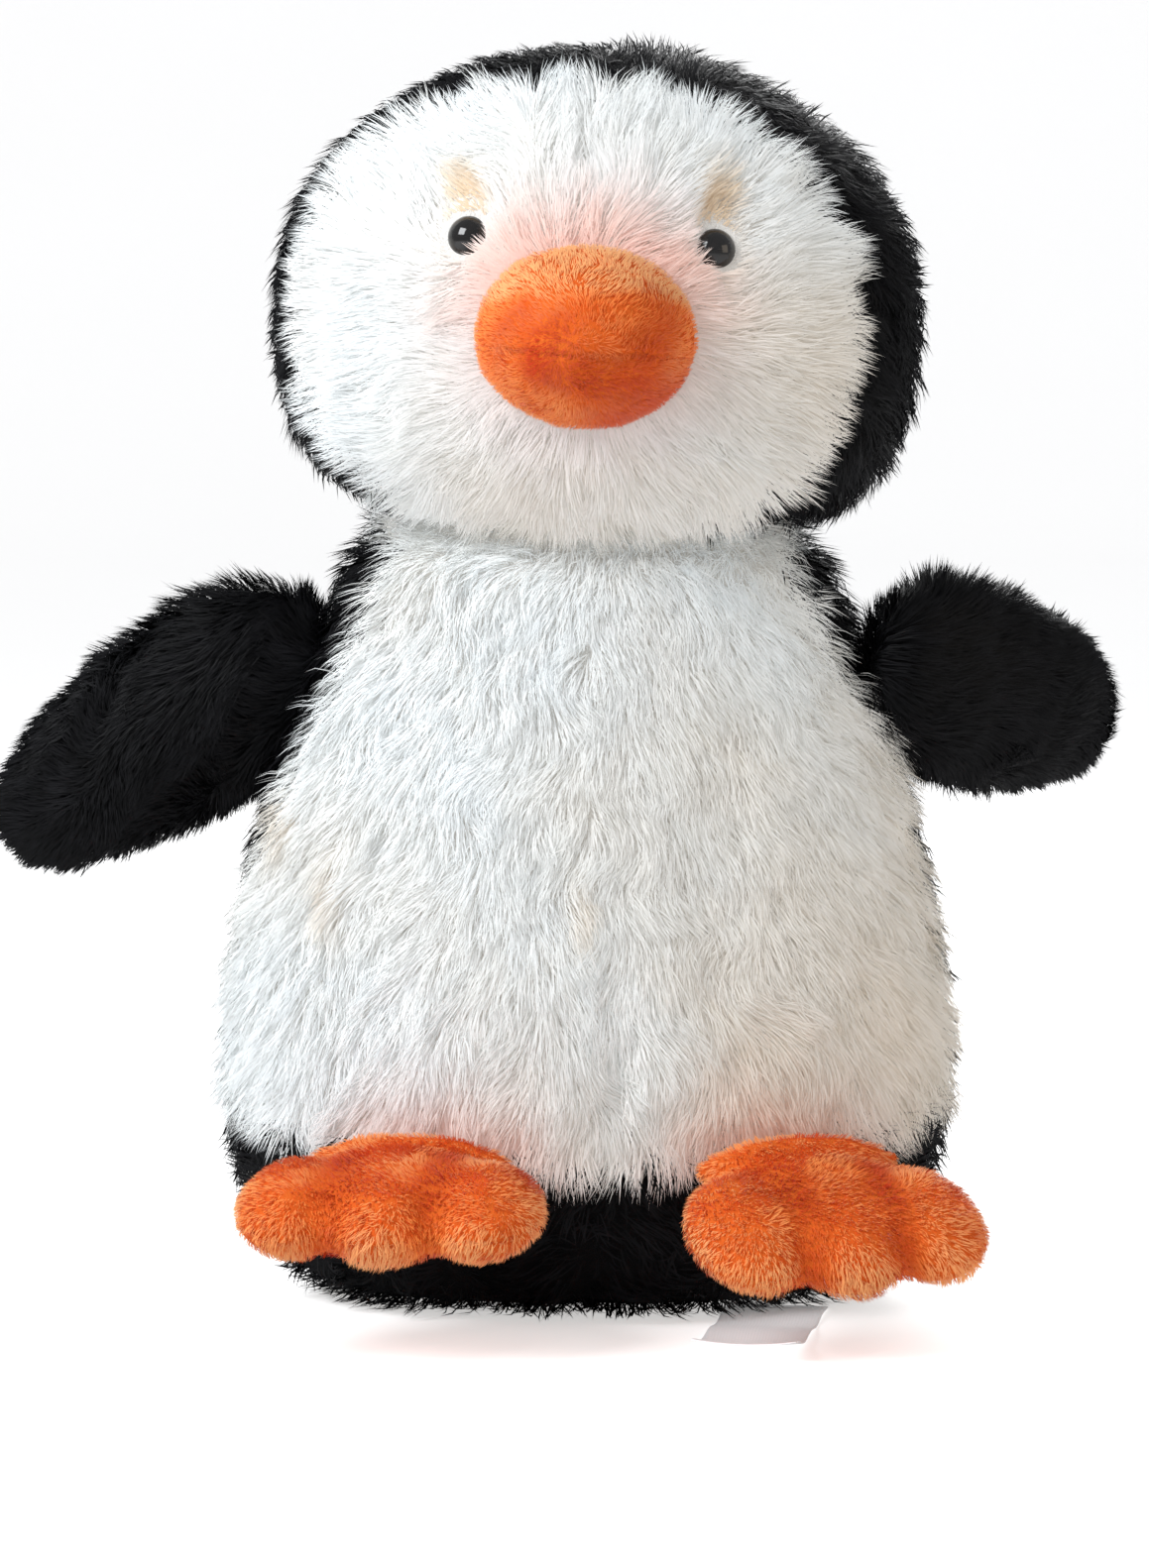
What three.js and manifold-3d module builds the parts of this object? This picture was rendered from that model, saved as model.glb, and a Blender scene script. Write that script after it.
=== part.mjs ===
// A stuffed plush penguin, about 31 cm tall, sitting upright on its flat base.
// Millimetres, +Z up. The front faces -Y and the toy's own left is +X.
// The origin is the centre of the flat base.
import * as THREE from "three";
import { mergeVertices } from "three/addons/utils/BufferGeometryUtils.js";
import Module from "manifold-3d";

const wasm = await Module();
wasm.setup();

// Gaps
const SEAM_GAP = 0.3; // between fabric panels sewn edge to edge
const FILL_GAP = 0.4; // between a fabric shell and the filling inside it
const TURN_GAP = 1; // round a piece that turns

// Fabrics, with backing and pile together
const LONG_PILE = 8;
const FLIPPER_PILE = 3;
const SHORT_PILE = 2.5;
const BACKING = 2; // the woven backing alone

// Trunk
const BASE_HALF_WIDTH = 62; // edge of the flat base
const BODY_HALF_WIDTH = 91;
const BODY_WIDE_HEIGHT = 58; // where the trunk is widest
const BODY_HALF_DEPTH = 59;
const NECK_HALF_WIDTH = 59;
const NECK_HEIGHT = 190; // height of the point that the head turns about
const SIDE_FULLNESS = 45; // how far up the trunk its side stays upright
const SHOULDER_FULLNESS = 40; // how far down from the neck the shoulder bends
const SHOULDER_REACH = 17; // how far the shoulder stands out past the neck
const BASE_SEAM_HEIGHT = 33; // white belly above, black base below
const SIDE_SEAM_Y = -6; // white belly in front, black back behind

// Neck
const NECK_CONE_DEG = 7; // slope of each face of the fold between head and trunk
const NECK_FOLD_GAP = 1.5; // each face's distance from the neck point
const NECK_WAD_RADIUS = 22;
const NECK_WAD_SPLIT = 2.4; // each half ball's flat face from the neck point

// Head, measured from the neck point
const HEAD_HALF_WIDTH = 82;
const HEAD_HALF_DEPTH = 64;
const HEAD_CENTRE_HEIGHT = 55;
const HEAD_RISE = 66; // from the centre to the crown
const HEAD_DROP = 60; // from the centre to the chin
const CHEEK_POWER = 3; // fullness of the cheeks, where 2 is an ellipse
const HEAD_LEAN_DEG = 3; // the head leans a little towards the toy's left

// White face panel, seen from the front
const FACE_HALF_WIDTH = 73;
const FACE_HALF_HEIGHT = 58;
const FACE_OFFSET_X = -4;
const FACE_OFFSET_Z = 1; // above the head's centre
const FACE_POWER = 2.3;

// Eyes
const EYE_RADIUS = 5;
const EYE_DOME_HEIGHT = 4.2;
const FEATURE_OFFSET_X = -3; // eyes and beak sit a little to one side, like the face
const EYE_SPACING = 61; // between the two eye centres
const EYE_HEIGHT = 16; // above the head's centre
const SHANK_RADIUS = 2;
const SHANK_LENGTH = 11;
const WASHER_RADIUS = 6.5;
const WASHER_THICKNESS = 1.5;
const SHANK_CLEARANCE = 0.3;
const EYE_POCKET_CLEARANCE = 1; // in the pile round the dome and in the filling round the rest

// Beak
const BEAK_HALF_WIDTH = 27.5;
const BEAK_HALF_HEIGHT = 22.5;
const BEAK_HALF_DEPTH = 38;
const BEAK_HEIGHT = -7; // above the head's centre
const BEAK_ROOT_SINK = 8; // how far the beak's centre lies inside the face
const BEAK_SEAM_DROP = 4; // side seam below the beak's centre

// Flippers
const FLIPPER_LENGTH = 75; // from the shoulder point to the tip
const FLIPPER_HALF_WIDTH = 23.5;
const FLIPPER_HALF_THICKNESS = 10;
const FLIPPER_ROOT_RADIUS = 26;
const FLIPPER_POWER = 2.5; // fullness of the outline
const FLIPPER_TAPER = 0.2;
const SHOULDER_POINT_OUT = 12; // shoulder point outside the trunk's side
const SHOULDER_POINT_HEIGHT = 154;
const FLIPPER_POSES = {
  left: { yaw: 50, drop: 11 },
  right: { yaw: 180 - 15, drop: 34 },
};

// Feet
const FOOT_HALF_WIDTH = 39;
const FOOT_LENGTH = 54; // from the hinge line to the middle toe's tip
const FOOT_HALF_THICKNESS = 9.5;
const FOOT_ROOT_HALF_WIDTH = 29;
const FOOT_ROOT_RADIUS = 8;
const TOE_HALF_WIDTH = 16;
const TOE_HALF_LENGTH = 22;
const OUTER_TOE_SETBACK = 4; // outer toes behind the middle one
const FOOT_HINGE_HEIGHT = 41;
const FOOT_ROOT_STANDOFF = 0.5; // hinge line further out, because the trunk curves
const FOOT_POSES = {
  left: { x: 46, yaw: 20, pitch: 25 },
  right: { x: -41, yaw: -8, pitch: 13 },
};

// Care label
const LABEL_WIDTH = 24.5;
const LABEL_LENGTH = 76;
const LABEL_THICKNESS = 0.6;
const LABEL_X = 46;
const LABEL_LEAN_DEG = 8; // towards the toy's right
const LABEL_FLOOR_GAP = 0.4;

const FAR = 400; // larger than the toy, for half spaces

// Facets round each kind of form
const BIG_AROUND = 28; // outer forms of trunk and head
const INNER_AROUND = 20; // the fabric's inner face and the filling
const BALL_AROUND = 16;
const BALL_DOWN = 8;
const SMALL_AROUND = 12;
const SMALL_DOWN = 6;
const HIDDEN_AROUND = 8; // inside the feet
const HIDDEN_DOWN = 4;
const CURVE_STEPS = 5; // along each curved stretch of a profile

const degrees = THREE.MathUtils.degToRad;

// ---------- solids ----------

// A closed three.js geometry as a solid that can be joined and cut.
function solid(geometry) {
  const bare = geometry.clone();
  bare.deleteAttribute("normal");
  bare.deleteAttribute("uv");
  const merged = mergeVertices(bare, 1e-4);
  const mesh = new wasm.Mesh({
    numProp: 3,
    vertProperties: new Float32Array(merged.attributes.position.array),
    triVerts: new Uint32Array(merged.index.array),
  });
  return new wasm.Manifold(mesh);
}

// A solid as a three.js geometry.
function geometryOf(shape) {
  const mesh = shape.getMesh();
  const geometry = new THREE.BufferGeometry();
  const positions = new Float32Array(mesh.vertProperties);
  geometry.setAttribute("position", new THREE.BufferAttribute(positions, 3));
  geometry.setIndex(new THREE.BufferAttribute(new Uint32Array(mesh.triVerts), 1));
  geometry.computeVertexNormals();
  return geometry;
}

// An axis-aligned block between two corners.
function block(low, high) {
  const size = high.map((value, i) => value - low[i]);
  const middle = high.map((value, i) => (value + low[i]) / 2);
  const geometry = new THREE.BoxGeometry(...size);
  geometry.translate(...middle);
  return solid(geometry);
}

// An ellipsoid with its poles up and down.
function ellipsoid(radii, centre, around = BALL_AROUND, down = BALL_DOWN) {
  const geometry = new THREE.SphereGeometry(1, around, down);
  geometry.rotateX(Math.PI / 2);
  geometry.scale(...radii);
  geometry.translate(...centre);
  return solid(geometry);
}

function ball(radius, centre) {
  return ellipsoid([radius, radius, radius], centre);
}

// A profile of (radius, height) points turned about +Z, then flattened in Y.
function turned(profile, segments, flatten = 1) {
  const geometry = new THREE.LatheGeometry(profile, segments);
  geometry.rotateX(Math.PI / 2);
  geometry.scale(1, flatten, 1);
  return solid(geometry);
}

// A point on the outline |x/a|^p + |y/b|^p = 1.
function superellipsePoint(a, b, power, angle) {
  const c = Math.cos(angle);
  const s = Math.sin(angle);
  const x = a * Math.sign(c) * Math.abs(c) ** (2 / power);
  const y = b * Math.sign(s) * Math.abs(s) ** (2 / power);
  return new THREE.Vector2(x, y);
}

// ---------- scene ----------

const COLOURS = {
  white: { color: 0xf3efe8, roughness: 0.95 },
  black: { color: 0x0c0c0e, roughness: 0.9 },
  orange: { color: 0xf4741f, roughness: 0.85 },
  filling: { color: 0xe9e7e2, roughness: 1 },
  eye: { color: 0x050505, roughness: 0.1 },
  washer: { color: 0xd9d9d4, roughness: 0.5 },
  label: { color: 0xf7f6f4, roughness: 0.4 },
};

function piece(name, shape, colour) {
  const material = new THREE.MeshStandardMaterial({ ...COLOURS[colour], metalness: 0 });
  const mesh = new THREE.Mesh(geometryOf(shape), material);
  mesh.name = name;
  return mesh;
}

// ---------- trunk ----------

// The trunk's side from its widest place up to the neck, inset mm inside it.
function trunkSide(inset) {
  const wide = BODY_HALF_WIDTH - inset;
  const neck = NECK_HALF_WIDTH - inset;
  return new THREE.CubicBezierCurve(
    new THREE.Vector2(wide, BODY_WIDE_HEIGHT),
    new THREE.Vector2(wide, BODY_WIDE_HEIGHT + SIDE_FULLNESS),
    new THREE.Vector2(neck + SHOULDER_REACH, NECK_HEIGHT - SHOULDER_FULLNESS),
    new THREE.Vector2(neck, NECK_HEIGHT),
  );
}

// The trunk's outer form, or the form that lies inset mm inside it.
function trunkForm(inset, segments = BIG_AROUND) {
  const wide = BODY_HALF_WIDTH - inset;
  const base = BASE_HALF_WIDTH - inset;
  const underside = new THREE.EllipseCurve(
    base, BODY_WIDE_HEIGHT, wide - base, BODY_WIDE_HEIGHT - inset, -Math.PI / 2, 0,
  );
  const profile = [new THREE.Vector2(0, inset)];
  profile.push(...underside.getPoints(CURVE_STEPS));
  profile.push(...trunkSide(inset).getPoints(CURVE_STEPS).slice(1));
  profile.push(new THREE.Vector2(0, NECK_HEIGHT));
  return turned(profile, segments, (BODY_HALF_DEPTH - inset) / wide);
}

// Half-width of the trunk at a height, read off its outer form's curves.
function trunkHalfWidth(height) {
  if (height <= BODY_WIDE_HEIGHT) {
    const rise = 1 - height / BODY_WIDE_HEIGHT;
    const bulge = BODY_HALF_WIDTH - BASE_HALF_WIDTH;
    return BASE_HALF_WIDTH + bulge * Math.sqrt(1 - rise * rise);
  }
  const fineSteps = 60;
  return trunkSide(0).getPoints(fineSteps).find((point) => point.y >= height).x;
}

// Distance of the trunk's front from the middle, at a place across and a height.
function trunkFrontDepth(x, height) {
  const halfWidth = trunkHalfWidth(height);
  const across = x / halfWidth;
  const depth = (BODY_HALF_DEPTH * halfWidth) / BODY_HALF_WIDTH;
  return depth * Math.sqrt(1 - across * across);
}

// A cone about +Z with its point at the neck: the space above one face of the
// fold (up = 1) or below the other (up = -1), as seen from the neck point.
function neckCone(up) {
  const rise = FAR * Math.tan(degrees(NECK_CONE_DEG));
  const profile = [
    new THREE.Vector2(0, NECK_FOLD_GAP),
    new THREE.Vector2(FAR, NECK_FOLD_GAP + rise),
    new THREE.Vector2(0, FAR),
  ];
  const flipped = profile.map((point) => new THREE.Vector2(point.x, -point.y)).reverse();
  return turned(up > 0 ? profile : flipped, BIG_AROUND);
}

const neckPoint = [0, 0, NECK_HEIGHT];
const neckSocket = ball(NECK_WAD_RADIUS + TURN_GAP, neckPoint);
const shoulderX = trunkHalfWidth(SHOULDER_POINT_HEIGHT) + SHOULDER_POINT_OUT;
const shoulders = [1, -1].map((side) =>
  ball(FLIPPER_ROOT_RADIUS + 2 * TURN_GAP, [side * shoulderX, 0, SHOULDER_POINT_HEIGHT]),
);

// What is left of a trunk shape once the neck and both shoulders have room.
function trunkCut(shape) {
  const belowNeck = shape.intersect(neckCone(-1).translate(neckPoint));
  return belowNeck.subtract(neckSocket).subtract(shoulders[0]).subtract(shoulders[1]);
}

function makeTrunk() {
  const shell = trunkCut(trunkForm(0).subtract(trunkForm(LONG_PILE, INNER_AROUND)));
  const half = SEAM_GAP / 2;
  const aboveBase = BASE_SEAM_HEIGHT + half;
  const front = block([-FAR, -FAR, aboveBase], [FAR, SIDE_SEAM_Y - half, FAR]);
  const backLeft = block([half, SIDE_SEAM_Y + half, aboveBase], [FAR, FAR, FAR]);
  const backRight = block([-FAR, SIDE_SEAM_Y + half, aboveBase], [-half, FAR, FAR]);
  const under = block([-FAR, -FAR, -FAR], [FAR, FAR, BASE_SEAM_HEIGHT - half]);
  const stuffing = trunkCut(trunkForm(LONG_PILE + FILL_GAP, INNER_AROUND));
  return [
    piece("belly_panel", shell.intersect(front), "white"),
    piece("back_panel_left", shell.intersect(backLeft), "black"),
    piece("back_panel_right", shell.intersect(backRight), "black"),
    piece("base_panel", shell.intersect(under), "black"),
    piece("body_stuffing", stuffing, "filling"),
  ];
}

// A flat ribbon on the floor, from the edge of the base forwards.
function makeLabel() {
  const y = -trunkFrontDepth(LABEL_X, 0);
  // It starts a width behind the edge, and the trunk's own form cuts it to fit.
  const ribbon = new THREE.BoxGeometry(LABEL_WIDTH, LABEL_LENGTH + LABEL_WIDTH, LABEL_THICKNESS);
  ribbon.translate(0, (LABEL_WIDTH - LABEL_LENGTH) / 2, 0);
  ribbon.rotateZ(degrees(-LABEL_LEAN_DEG));
  ribbon.translate(LABEL_X, y, LABEL_FLOOR_GAP + LABEL_THICKNESS / 2);
  return piece("care_label", solid(ribbon).subtract(trunkForm(-2 * SEAM_GAP)), "label");
}

// ---------- neck ----------

function makeNeck() {
  const wad = ball(NECK_WAD_RADIUS, [0, 0, 0]);
  const lower = wad.intersect(block([-FAR, -FAR, -FAR], [FAR, FAR, -NECK_WAD_SPLIT]));
  const upper = wad.intersect(block([-FAR, -FAR, NECK_WAD_SPLIT], [FAR, FAR, FAR]));
  const neck = new THREE.Group();
  neck.position.set(...neckPoint);
  neck.add(piece("neck_wad_lower", lower, "filling"));
  neck.add(piece("neck_wad_upper", upper, "filling"));
  return neck;
}

// ---------- head ----------

// The head's profile, as shares of its half-width, from the chin to the crown.
function headProfile(rise, drop) {
  const points = [];
  for (let i = 0; i <= 2 * CURVE_STEPS; i++) {
    const angle = -Math.PI / 2 + (Math.PI / 2) * (i / CURVE_STEPS);
    const low = i < CURVE_STEPS;
    points.push(superellipsePoint(1, low ? drop : rise, low ? CHEEK_POWER : 2, angle));
  }
  points[0].x = 0;
  points[2 * CURVE_STEPS].x = 0;
  return points;
}

// The head's outer form, or the form that lies inset mm inside it.
function headForm(inset, segments = BIG_AROUND) {
  const profile = headProfile(HEAD_RISE - inset, HEAD_DROP - inset);
  const width = HEAD_HALF_WIDTH - inset;
  const scaled = profile.map((point) => new THREE.Vector2(point.x * width, point.y));
  const form = turned(scaled, segments, (HEAD_HALF_DEPTH - inset) / width);
  return form.translate([0, 0, HEAD_CENTRE_HEIGHT]);
}

// The space in front of the head inside the face panel's outline, grown by grow.
function faceSpace(grow) {
  const outline = [];
  const halfWidth = FACE_HALF_WIDTH + grow;
  const halfHeight = FACE_HALF_HEIGHT + grow;
  for (let i = 0; i < BIG_AROUND; i++) {
    const angle = (2 * Math.PI * i) / BIG_AROUND;
    outline.push(superellipsePoint(halfWidth, halfHeight, FACE_POWER, angle));
  }
  const prism = new THREE.ExtrudeGeometry(new THREE.Shape(outline), {
    depth: FAR,
    bevelEnabled: false,
  });
  prism.rotateX(Math.PI / 2);
  prism.translate(FACE_OFFSET_X, 0, HEAD_CENTRE_HEIGHT + FACE_OFFSET_Z);
  return solid(prism);
}

// A place on the front of the head, inset mm inside it, and its direction outwards.
function headFront(x, z, inset) {
  const rise = z > 0 ? HEAD_RISE : HEAD_DROP;
  const power = z > 0 ? 2 : CHEEK_POWER;
  const shrink = (1 - Math.abs(z / rise) ** power) ** (1 / power);
  const width = HEAD_HALF_WIDTH * shrink;
  const depth = HEAD_HALF_DEPTH * shrink;
  const y = -depth * Math.sqrt(1 - (x / width) ** 2);
  const normal = new THREE.Vector3(
    x / HEAD_HALF_WIDTH ** 2,
    y / HEAD_HALF_DEPTH ** 2,
    z / rise ** 2,
  ).normalize();
  const place = new THREE.Vector3(x, y, z + HEAD_CENTRE_HEIGHT);
  place.addScaledVector(normal, -inset);
  return { place, normal };
}

// A group at a place on the front of the head, whose +Z points out of the head.
function mountedOnHead(spot) {
  const group = new THREE.Group();
  group.position.copy(spot.place);
  group.quaternion.setFromUnitVectors(new THREE.Vector3(0, 0, 1), spot.normal);
  group.updateMatrix();
  return group;
}

// A solid in a group's own frame, moved into the frame of the group's parent.
function inParent(shape, group) {
  return solid(geometryOf(shape).applyMatrix4(group.matrix));
}

// A domed eye on its shank, grown by grow: its back lies on the fabric at height 0.
function eyeProfile(grow) {
  const shank = SHANK_RADIUS + grow;
  const profile = [
    new THREE.Vector2(0, -SHANK_LENGTH - grow),
    new THREE.Vector2(shank, -SHANK_LENGTH - grow),
    new THREE.Vector2(shank, -grow),
    new THREE.Vector2(EYE_RADIUS + grow, -grow),
  ];
  for (let i = 0; i <= CURVE_STEPS; i++) {
    const angle = (Math.PI / 2) * (i / CURVE_STEPS);
    const across = (EYE_RADIUS + grow) * Math.cos(angle);
    const up = (EYE_DOME_HEIGHT + grow) * Math.sin(angle);
    profile.push(new THREE.Vector2(i < CURVE_STEPS ? across : 0, up));
  }
  return profile;
}

// A flat ring about +Z between two heights, as a closed profile turned.
function ring(inner, outer, low, high) {
  const corners = [[inner, low], [outer, low], [outer, high], [inner, high], [inner, low]];
  return turned(corners.map(([x, y]) => new THREE.Vector2(x, y)), SMALL_AROUND);
}

// One eye, its washer, and the room that both need in the face and the filling.
function makeEye(side) {
  const backingDepth = LONG_PILE - BACKING;
  const x = FEATURE_OFFSET_X + (side * EYE_SPACING) / 2;
  const group = mountedOnHead(headFront(x, EYE_HEIGHT, backingDepth));
  const washerTop = -BACKING - 2 * SHANK_CLEARANCE;
  const washerBottom = washerTop - WASHER_THICKNESS;
  const hole = SHANK_RADIUS + SHANK_CLEARANCE;
  const washer = ring(hole, WASHER_RADIUS, washerBottom, washerTop);
  const name = side > 0 ? "left_eye" : "right_eye";
  group.add(piece(name, turned(eyeProfile(0), SMALL_AROUND), "eye"));
  group.add(piece(name + "_washer", washer, "washer"));
  const eyeRoom = turned(eyeProfile(SHANK_CLEARANCE), SMALL_AROUND);
  const well = roundBar(EYE_RADIUS + EYE_POCKET_CLEARANCE, 0, LONG_PILE);
  const pocket = roundBar(
    WASHER_RADIUS + EYE_POCKET_CLEARANCE,
    -SHANK_LENGTH - EYE_POCKET_CLEARANCE,
    washerTop + SHANK_CLEARANCE,
  );
  return {
    group,
    faceRoom: inParent(eyeRoom.add(well).add(pocket), group),
    fillingRoom: inParent(pocket, group),
  };
}

// A round bar about +Z between two heights.
function roundBar(radius, low, high) {
  const geometry = new THREE.CylinderGeometry(radius, radius, high - low, SMALL_AROUND);
  geometry.rotateX(Math.PI / 2);
  geometry.translate(0, 0, (low + high) / 2);
  return solid(geometry);
}

function makeBeak() {
  const y = BEAK_ROOT_SINK - HEAD_HALF_DEPTH;
  const centre = [FEATURE_OFFSET_X, y, HEAD_CENTRE_HEIGHT + BEAK_HEIGHT];
  const radii = [BEAK_HALF_WIDTH, BEAK_HALF_DEPTH, BEAK_HALF_HEIGHT];
  const within = (inset) => ellipsoid(radii.map((r) => r - inset), centre);
  const face = headForm(-SEAM_GAP);
  const shell = within(0).subtract(within(SHORT_PILE)).subtract(face);
  const seam = centre[2] - BEAK_SEAM_DROP;
  const above = block([-FAR, -FAR, seam + SEAM_GAP / 2], [FAR, FAR, FAR]);
  const below = block([-FAR, -FAR, -FAR], [FAR, FAR, seam - SEAM_GAP / 2]);
  return [
    piece("beak_upper", shell.intersect(above), "orange"),
    piece("beak_lower", shell.intersect(below), "orange"),
    piece("beak_stuffing", within(SHORT_PILE + FILL_GAP).subtract(face), "filling"),
  ];
}

function makeHead() {
  const head = new THREE.Group();
  head.position.set(...neckPoint);
  head.rotation.y = degrees(HEAD_LEAN_DEG);
  // The fold at the neck stays level while the head leans.
  const fold = neckCone(1).rotate([0, -HEAD_LEAN_DEG, 0]);
  const wadRoom = ball(NECK_WAD_RADIUS + TURN_GAP, [0, 0, 0]);
  const cut = (shape) => shape.intersect(fold).subtract(wadRoom);
  const eyes = [makeEye(1), makeEye(-1)];
  const shell = cut(headForm(0).subtract(headForm(LONG_PILE, INNER_AROUND)));
  const half = SEAM_GAP / 2;
  let face = shell.intersect(faceSpace(-half));
  let stuffing = cut(headForm(LONG_PILE + FILL_GAP, INNER_AROUND));
  for (const eye of eyes) {
    face = face.subtract(eye.faceRoom);
    stuffing = stuffing.subtract(eye.fillingRoom);
    head.add(eye.group);
  }
  const hood = shell.subtract(faceSpace(half));
  head.add(piece("face_panel", face, "white"));
  const leftSide = block([half, -FAR, -FAR], [FAR, FAR, FAR]);
  const rightSide = block([-FAR, -FAR, -FAR], [-half, FAR, FAR]);
  head.add(piece("hood_left", hood.intersect(leftSide), "black"));
  head.add(piece("hood_right", hood.intersect(rightSide), "black"));
  head.add(piece("head_stuffing", stuffing, "filling"));
  head.add(...makeBeak());
  return head;
}

// ---------- flippers ----------

// A pillow along +X from the shoulder point: full at the root, tapered to the tip.
function flipperForm(inset) {
  const halfLength = (FLIPPER_LENGTH + FLIPPER_ROOT_RADIUS) / 2;
  const middle = FLIPPER_LENGTH - halfLength;
  const geometry = new THREE.SphereGeometry(1, INNER_AROUND, BALL_DOWN);
  const spots = geometry.attributes.position;
  for (let i = 0; i < spots.count; i++) {
    const angle = Math.atan2(spots.getZ(i), spots.getX(i));
    const reach = Math.hypot(spots.getX(i), spots.getZ(i));
    const edge = superellipsePoint(1, 1, FLIPPER_POWER, angle);
    const taper = 1 - FLIPPER_TAPER * Math.max(edge.x * reach, 0);
    spots.setXYZ(
      i,
      middle + (halfLength - inset) * edge.x * reach,
      (FLIPPER_HALF_THICKNESS - inset) * spots.getY(i),
      (FLIPPER_HALF_WIDTH - inset) * edge.y * reach * taper,
    );
  }
  return solid(geometry);
}

function makeFlipper(side) {
  const pose = FLIPPER_POSES[side];
  const sign = side === "left" ? 1 : -1;
  const flipper = new THREE.Group();
  flipper.position.set(sign * shoulderX, 0, SHOULDER_POINT_HEIGHT);
  flipper.rotation.order = "ZYX";
  flipper.rotation.set(0, degrees(pose.drop), degrees(pose.yaw));
  const root = ball(FLIPPER_ROOT_RADIUS, [0, 0, 0]);
  const rootRoom = ball(FLIPPER_ROOT_RADIUS + TURN_GAP, [0, 0, 0]);
  const outer = flipperForm(0);
  const shell = outer.subtract(flipperForm(FLIPPER_PILE)).subtract(rootRoom);
  const stuffing = flipperForm(FLIPPER_PILE + FILL_GAP).subtract(rootRoom);
  const half = SEAM_GAP / 2;
  const minusY = shell.intersect(block([-FAR, -FAR, -FAR], [FAR, -half, FAR]));
  const plusY = shell.intersect(block([-FAR, half, -FAR], [FAR, FAR, FAR]));
  const [front, back] = sign > 0 ? [minusY, plusY] : [plusY, minusY];
  flipper.add(piece(side + "_flipper_front", front, "black"));
  flipper.add(piece(side + "_flipper_back", back, "black"));
  flipper.add(piece(side + "_flipper_stuffing", stuffing, "filling"));
  flipper.add(piece(side + "_flipper_root", outer.intersect(root), "black"));
  return flipper;
}

// ---------- feet ----------

// A webbed foot along -Y from its hinge line: a pad, three toes and a round root.
function footForm(inset, around, down) {
  const thickness = FOOT_HALF_THICKNESS - inset;
  const toeSpread = FOOT_HALF_WIDTH - TOE_HALF_WIDTH;
  const toeCentre = TOE_HALF_LENGTH - FOOT_LENGTH;
  const padLength = FOOT_LENGTH / 2;
  const pad = ellipsoid(
    [toeSpread + TOE_HALF_WIDTH / 2 - inset, padLength - inset, thickness],
    [0, -padLength + FOOT_ROOT_RADIUS / 2, 0],
    around,
    down,
  );
  const root = ellipsoid(
    [FOOT_ROOT_HALF_WIDTH - inset, FOOT_ROOT_RADIUS - inset, FOOT_ROOT_RADIUS - inset],
    [0, 0, 0],
    around,
    down,
  );
  let form = pad.add(root);
  for (const place of [-1, 0, 1]) {
    const setback = place === 0 ? 0 : OUTER_TOE_SETBACK;
    const toe = ellipsoid(
      [TOE_HALF_WIDTH - inset, TOE_HALF_LENGTH - inset, thickness],
      [place * toeSpread, toeCentre + setback, 0],
      around,
      down,
    );
    form = form.add(toe);
  }
  return form;
}

function makeFoot(side) {
  const pose = FOOT_POSES[side];
  const foot = new THREE.Group();
  // The hinge line clears the trunk's front by the root's own radius.
  const out = FOOT_ROOT_RADIUS + TURN_GAP + FOOT_ROOT_STANDOFF;
  const y = -trunkFrontDepth(pose.x, FOOT_HINGE_HEIGHT);
  foot.position.set(
    pose.x + out * Math.sin(degrees(pose.yaw)),
    y - out * Math.cos(degrees(pose.yaw)),
    FOOT_HINGE_HEIGHT,
  );
  foot.rotation.order = "ZYX";
  foot.rotation.set(degrees(pose.pitch), 0, degrees(pose.yaw));
  const inner = footForm(SHORT_PILE, HIDDEN_AROUND, HIDDEN_DOWN);
  const shell = footForm(0, SMALL_AROUND, SMALL_DOWN).subtract(inner);
  const stuffing = footForm(SHORT_PILE + FILL_GAP, HIDDEN_AROUND, HIDDEN_DOWN);
  const half = SEAM_GAP / 2;
  const upper = block([-FAR, -FAR, half], [FAR, FAR, FAR]);
  const lower = block([-FAR, -FAR, -FAR], [FAR, FAR, -half]);
  foot.add(piece(side + "_foot_top", shell.intersect(upper), "orange"));
  foot.add(piece(side + "_foot_sole", shell.intersect(lower), "orange"));
  foot.add(piece(side + "_foot_stuffing", stuffing, "filling"));
  return foot;
}

const penguin = new THREE.Group();
penguin.add(...makeTrunk());
penguin.add(makeLabel());
penguin.add(makeNeck());
penguin.add(makeHead());
penguin.add(makeFlipper("left"));
penguin.add(makeFlipper("right"));
penguin.add(makeFoot("left"));
penguin.add(makeFoot("right"));

export default penguin;
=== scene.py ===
# %% [markdown]
# # A plush penguin, sewn and stuffed
# This script builds the looks of a soft toy round a model that already knows how its head, flippers and
# feet move. The toy is made of sewn skins that are filled with wadding, and every skin carries a pile of
# fine fibres. The lesson goes the same way as the workshop does: the frame, the camera and lights, the
# skins, the moulded eyes, the fur, and at the end the care label.

import math

import bpy
import numpy as np
from mathutils import Matrix, Vector, kdtree
from mathutils.bvhtree import BVHTree


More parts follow.
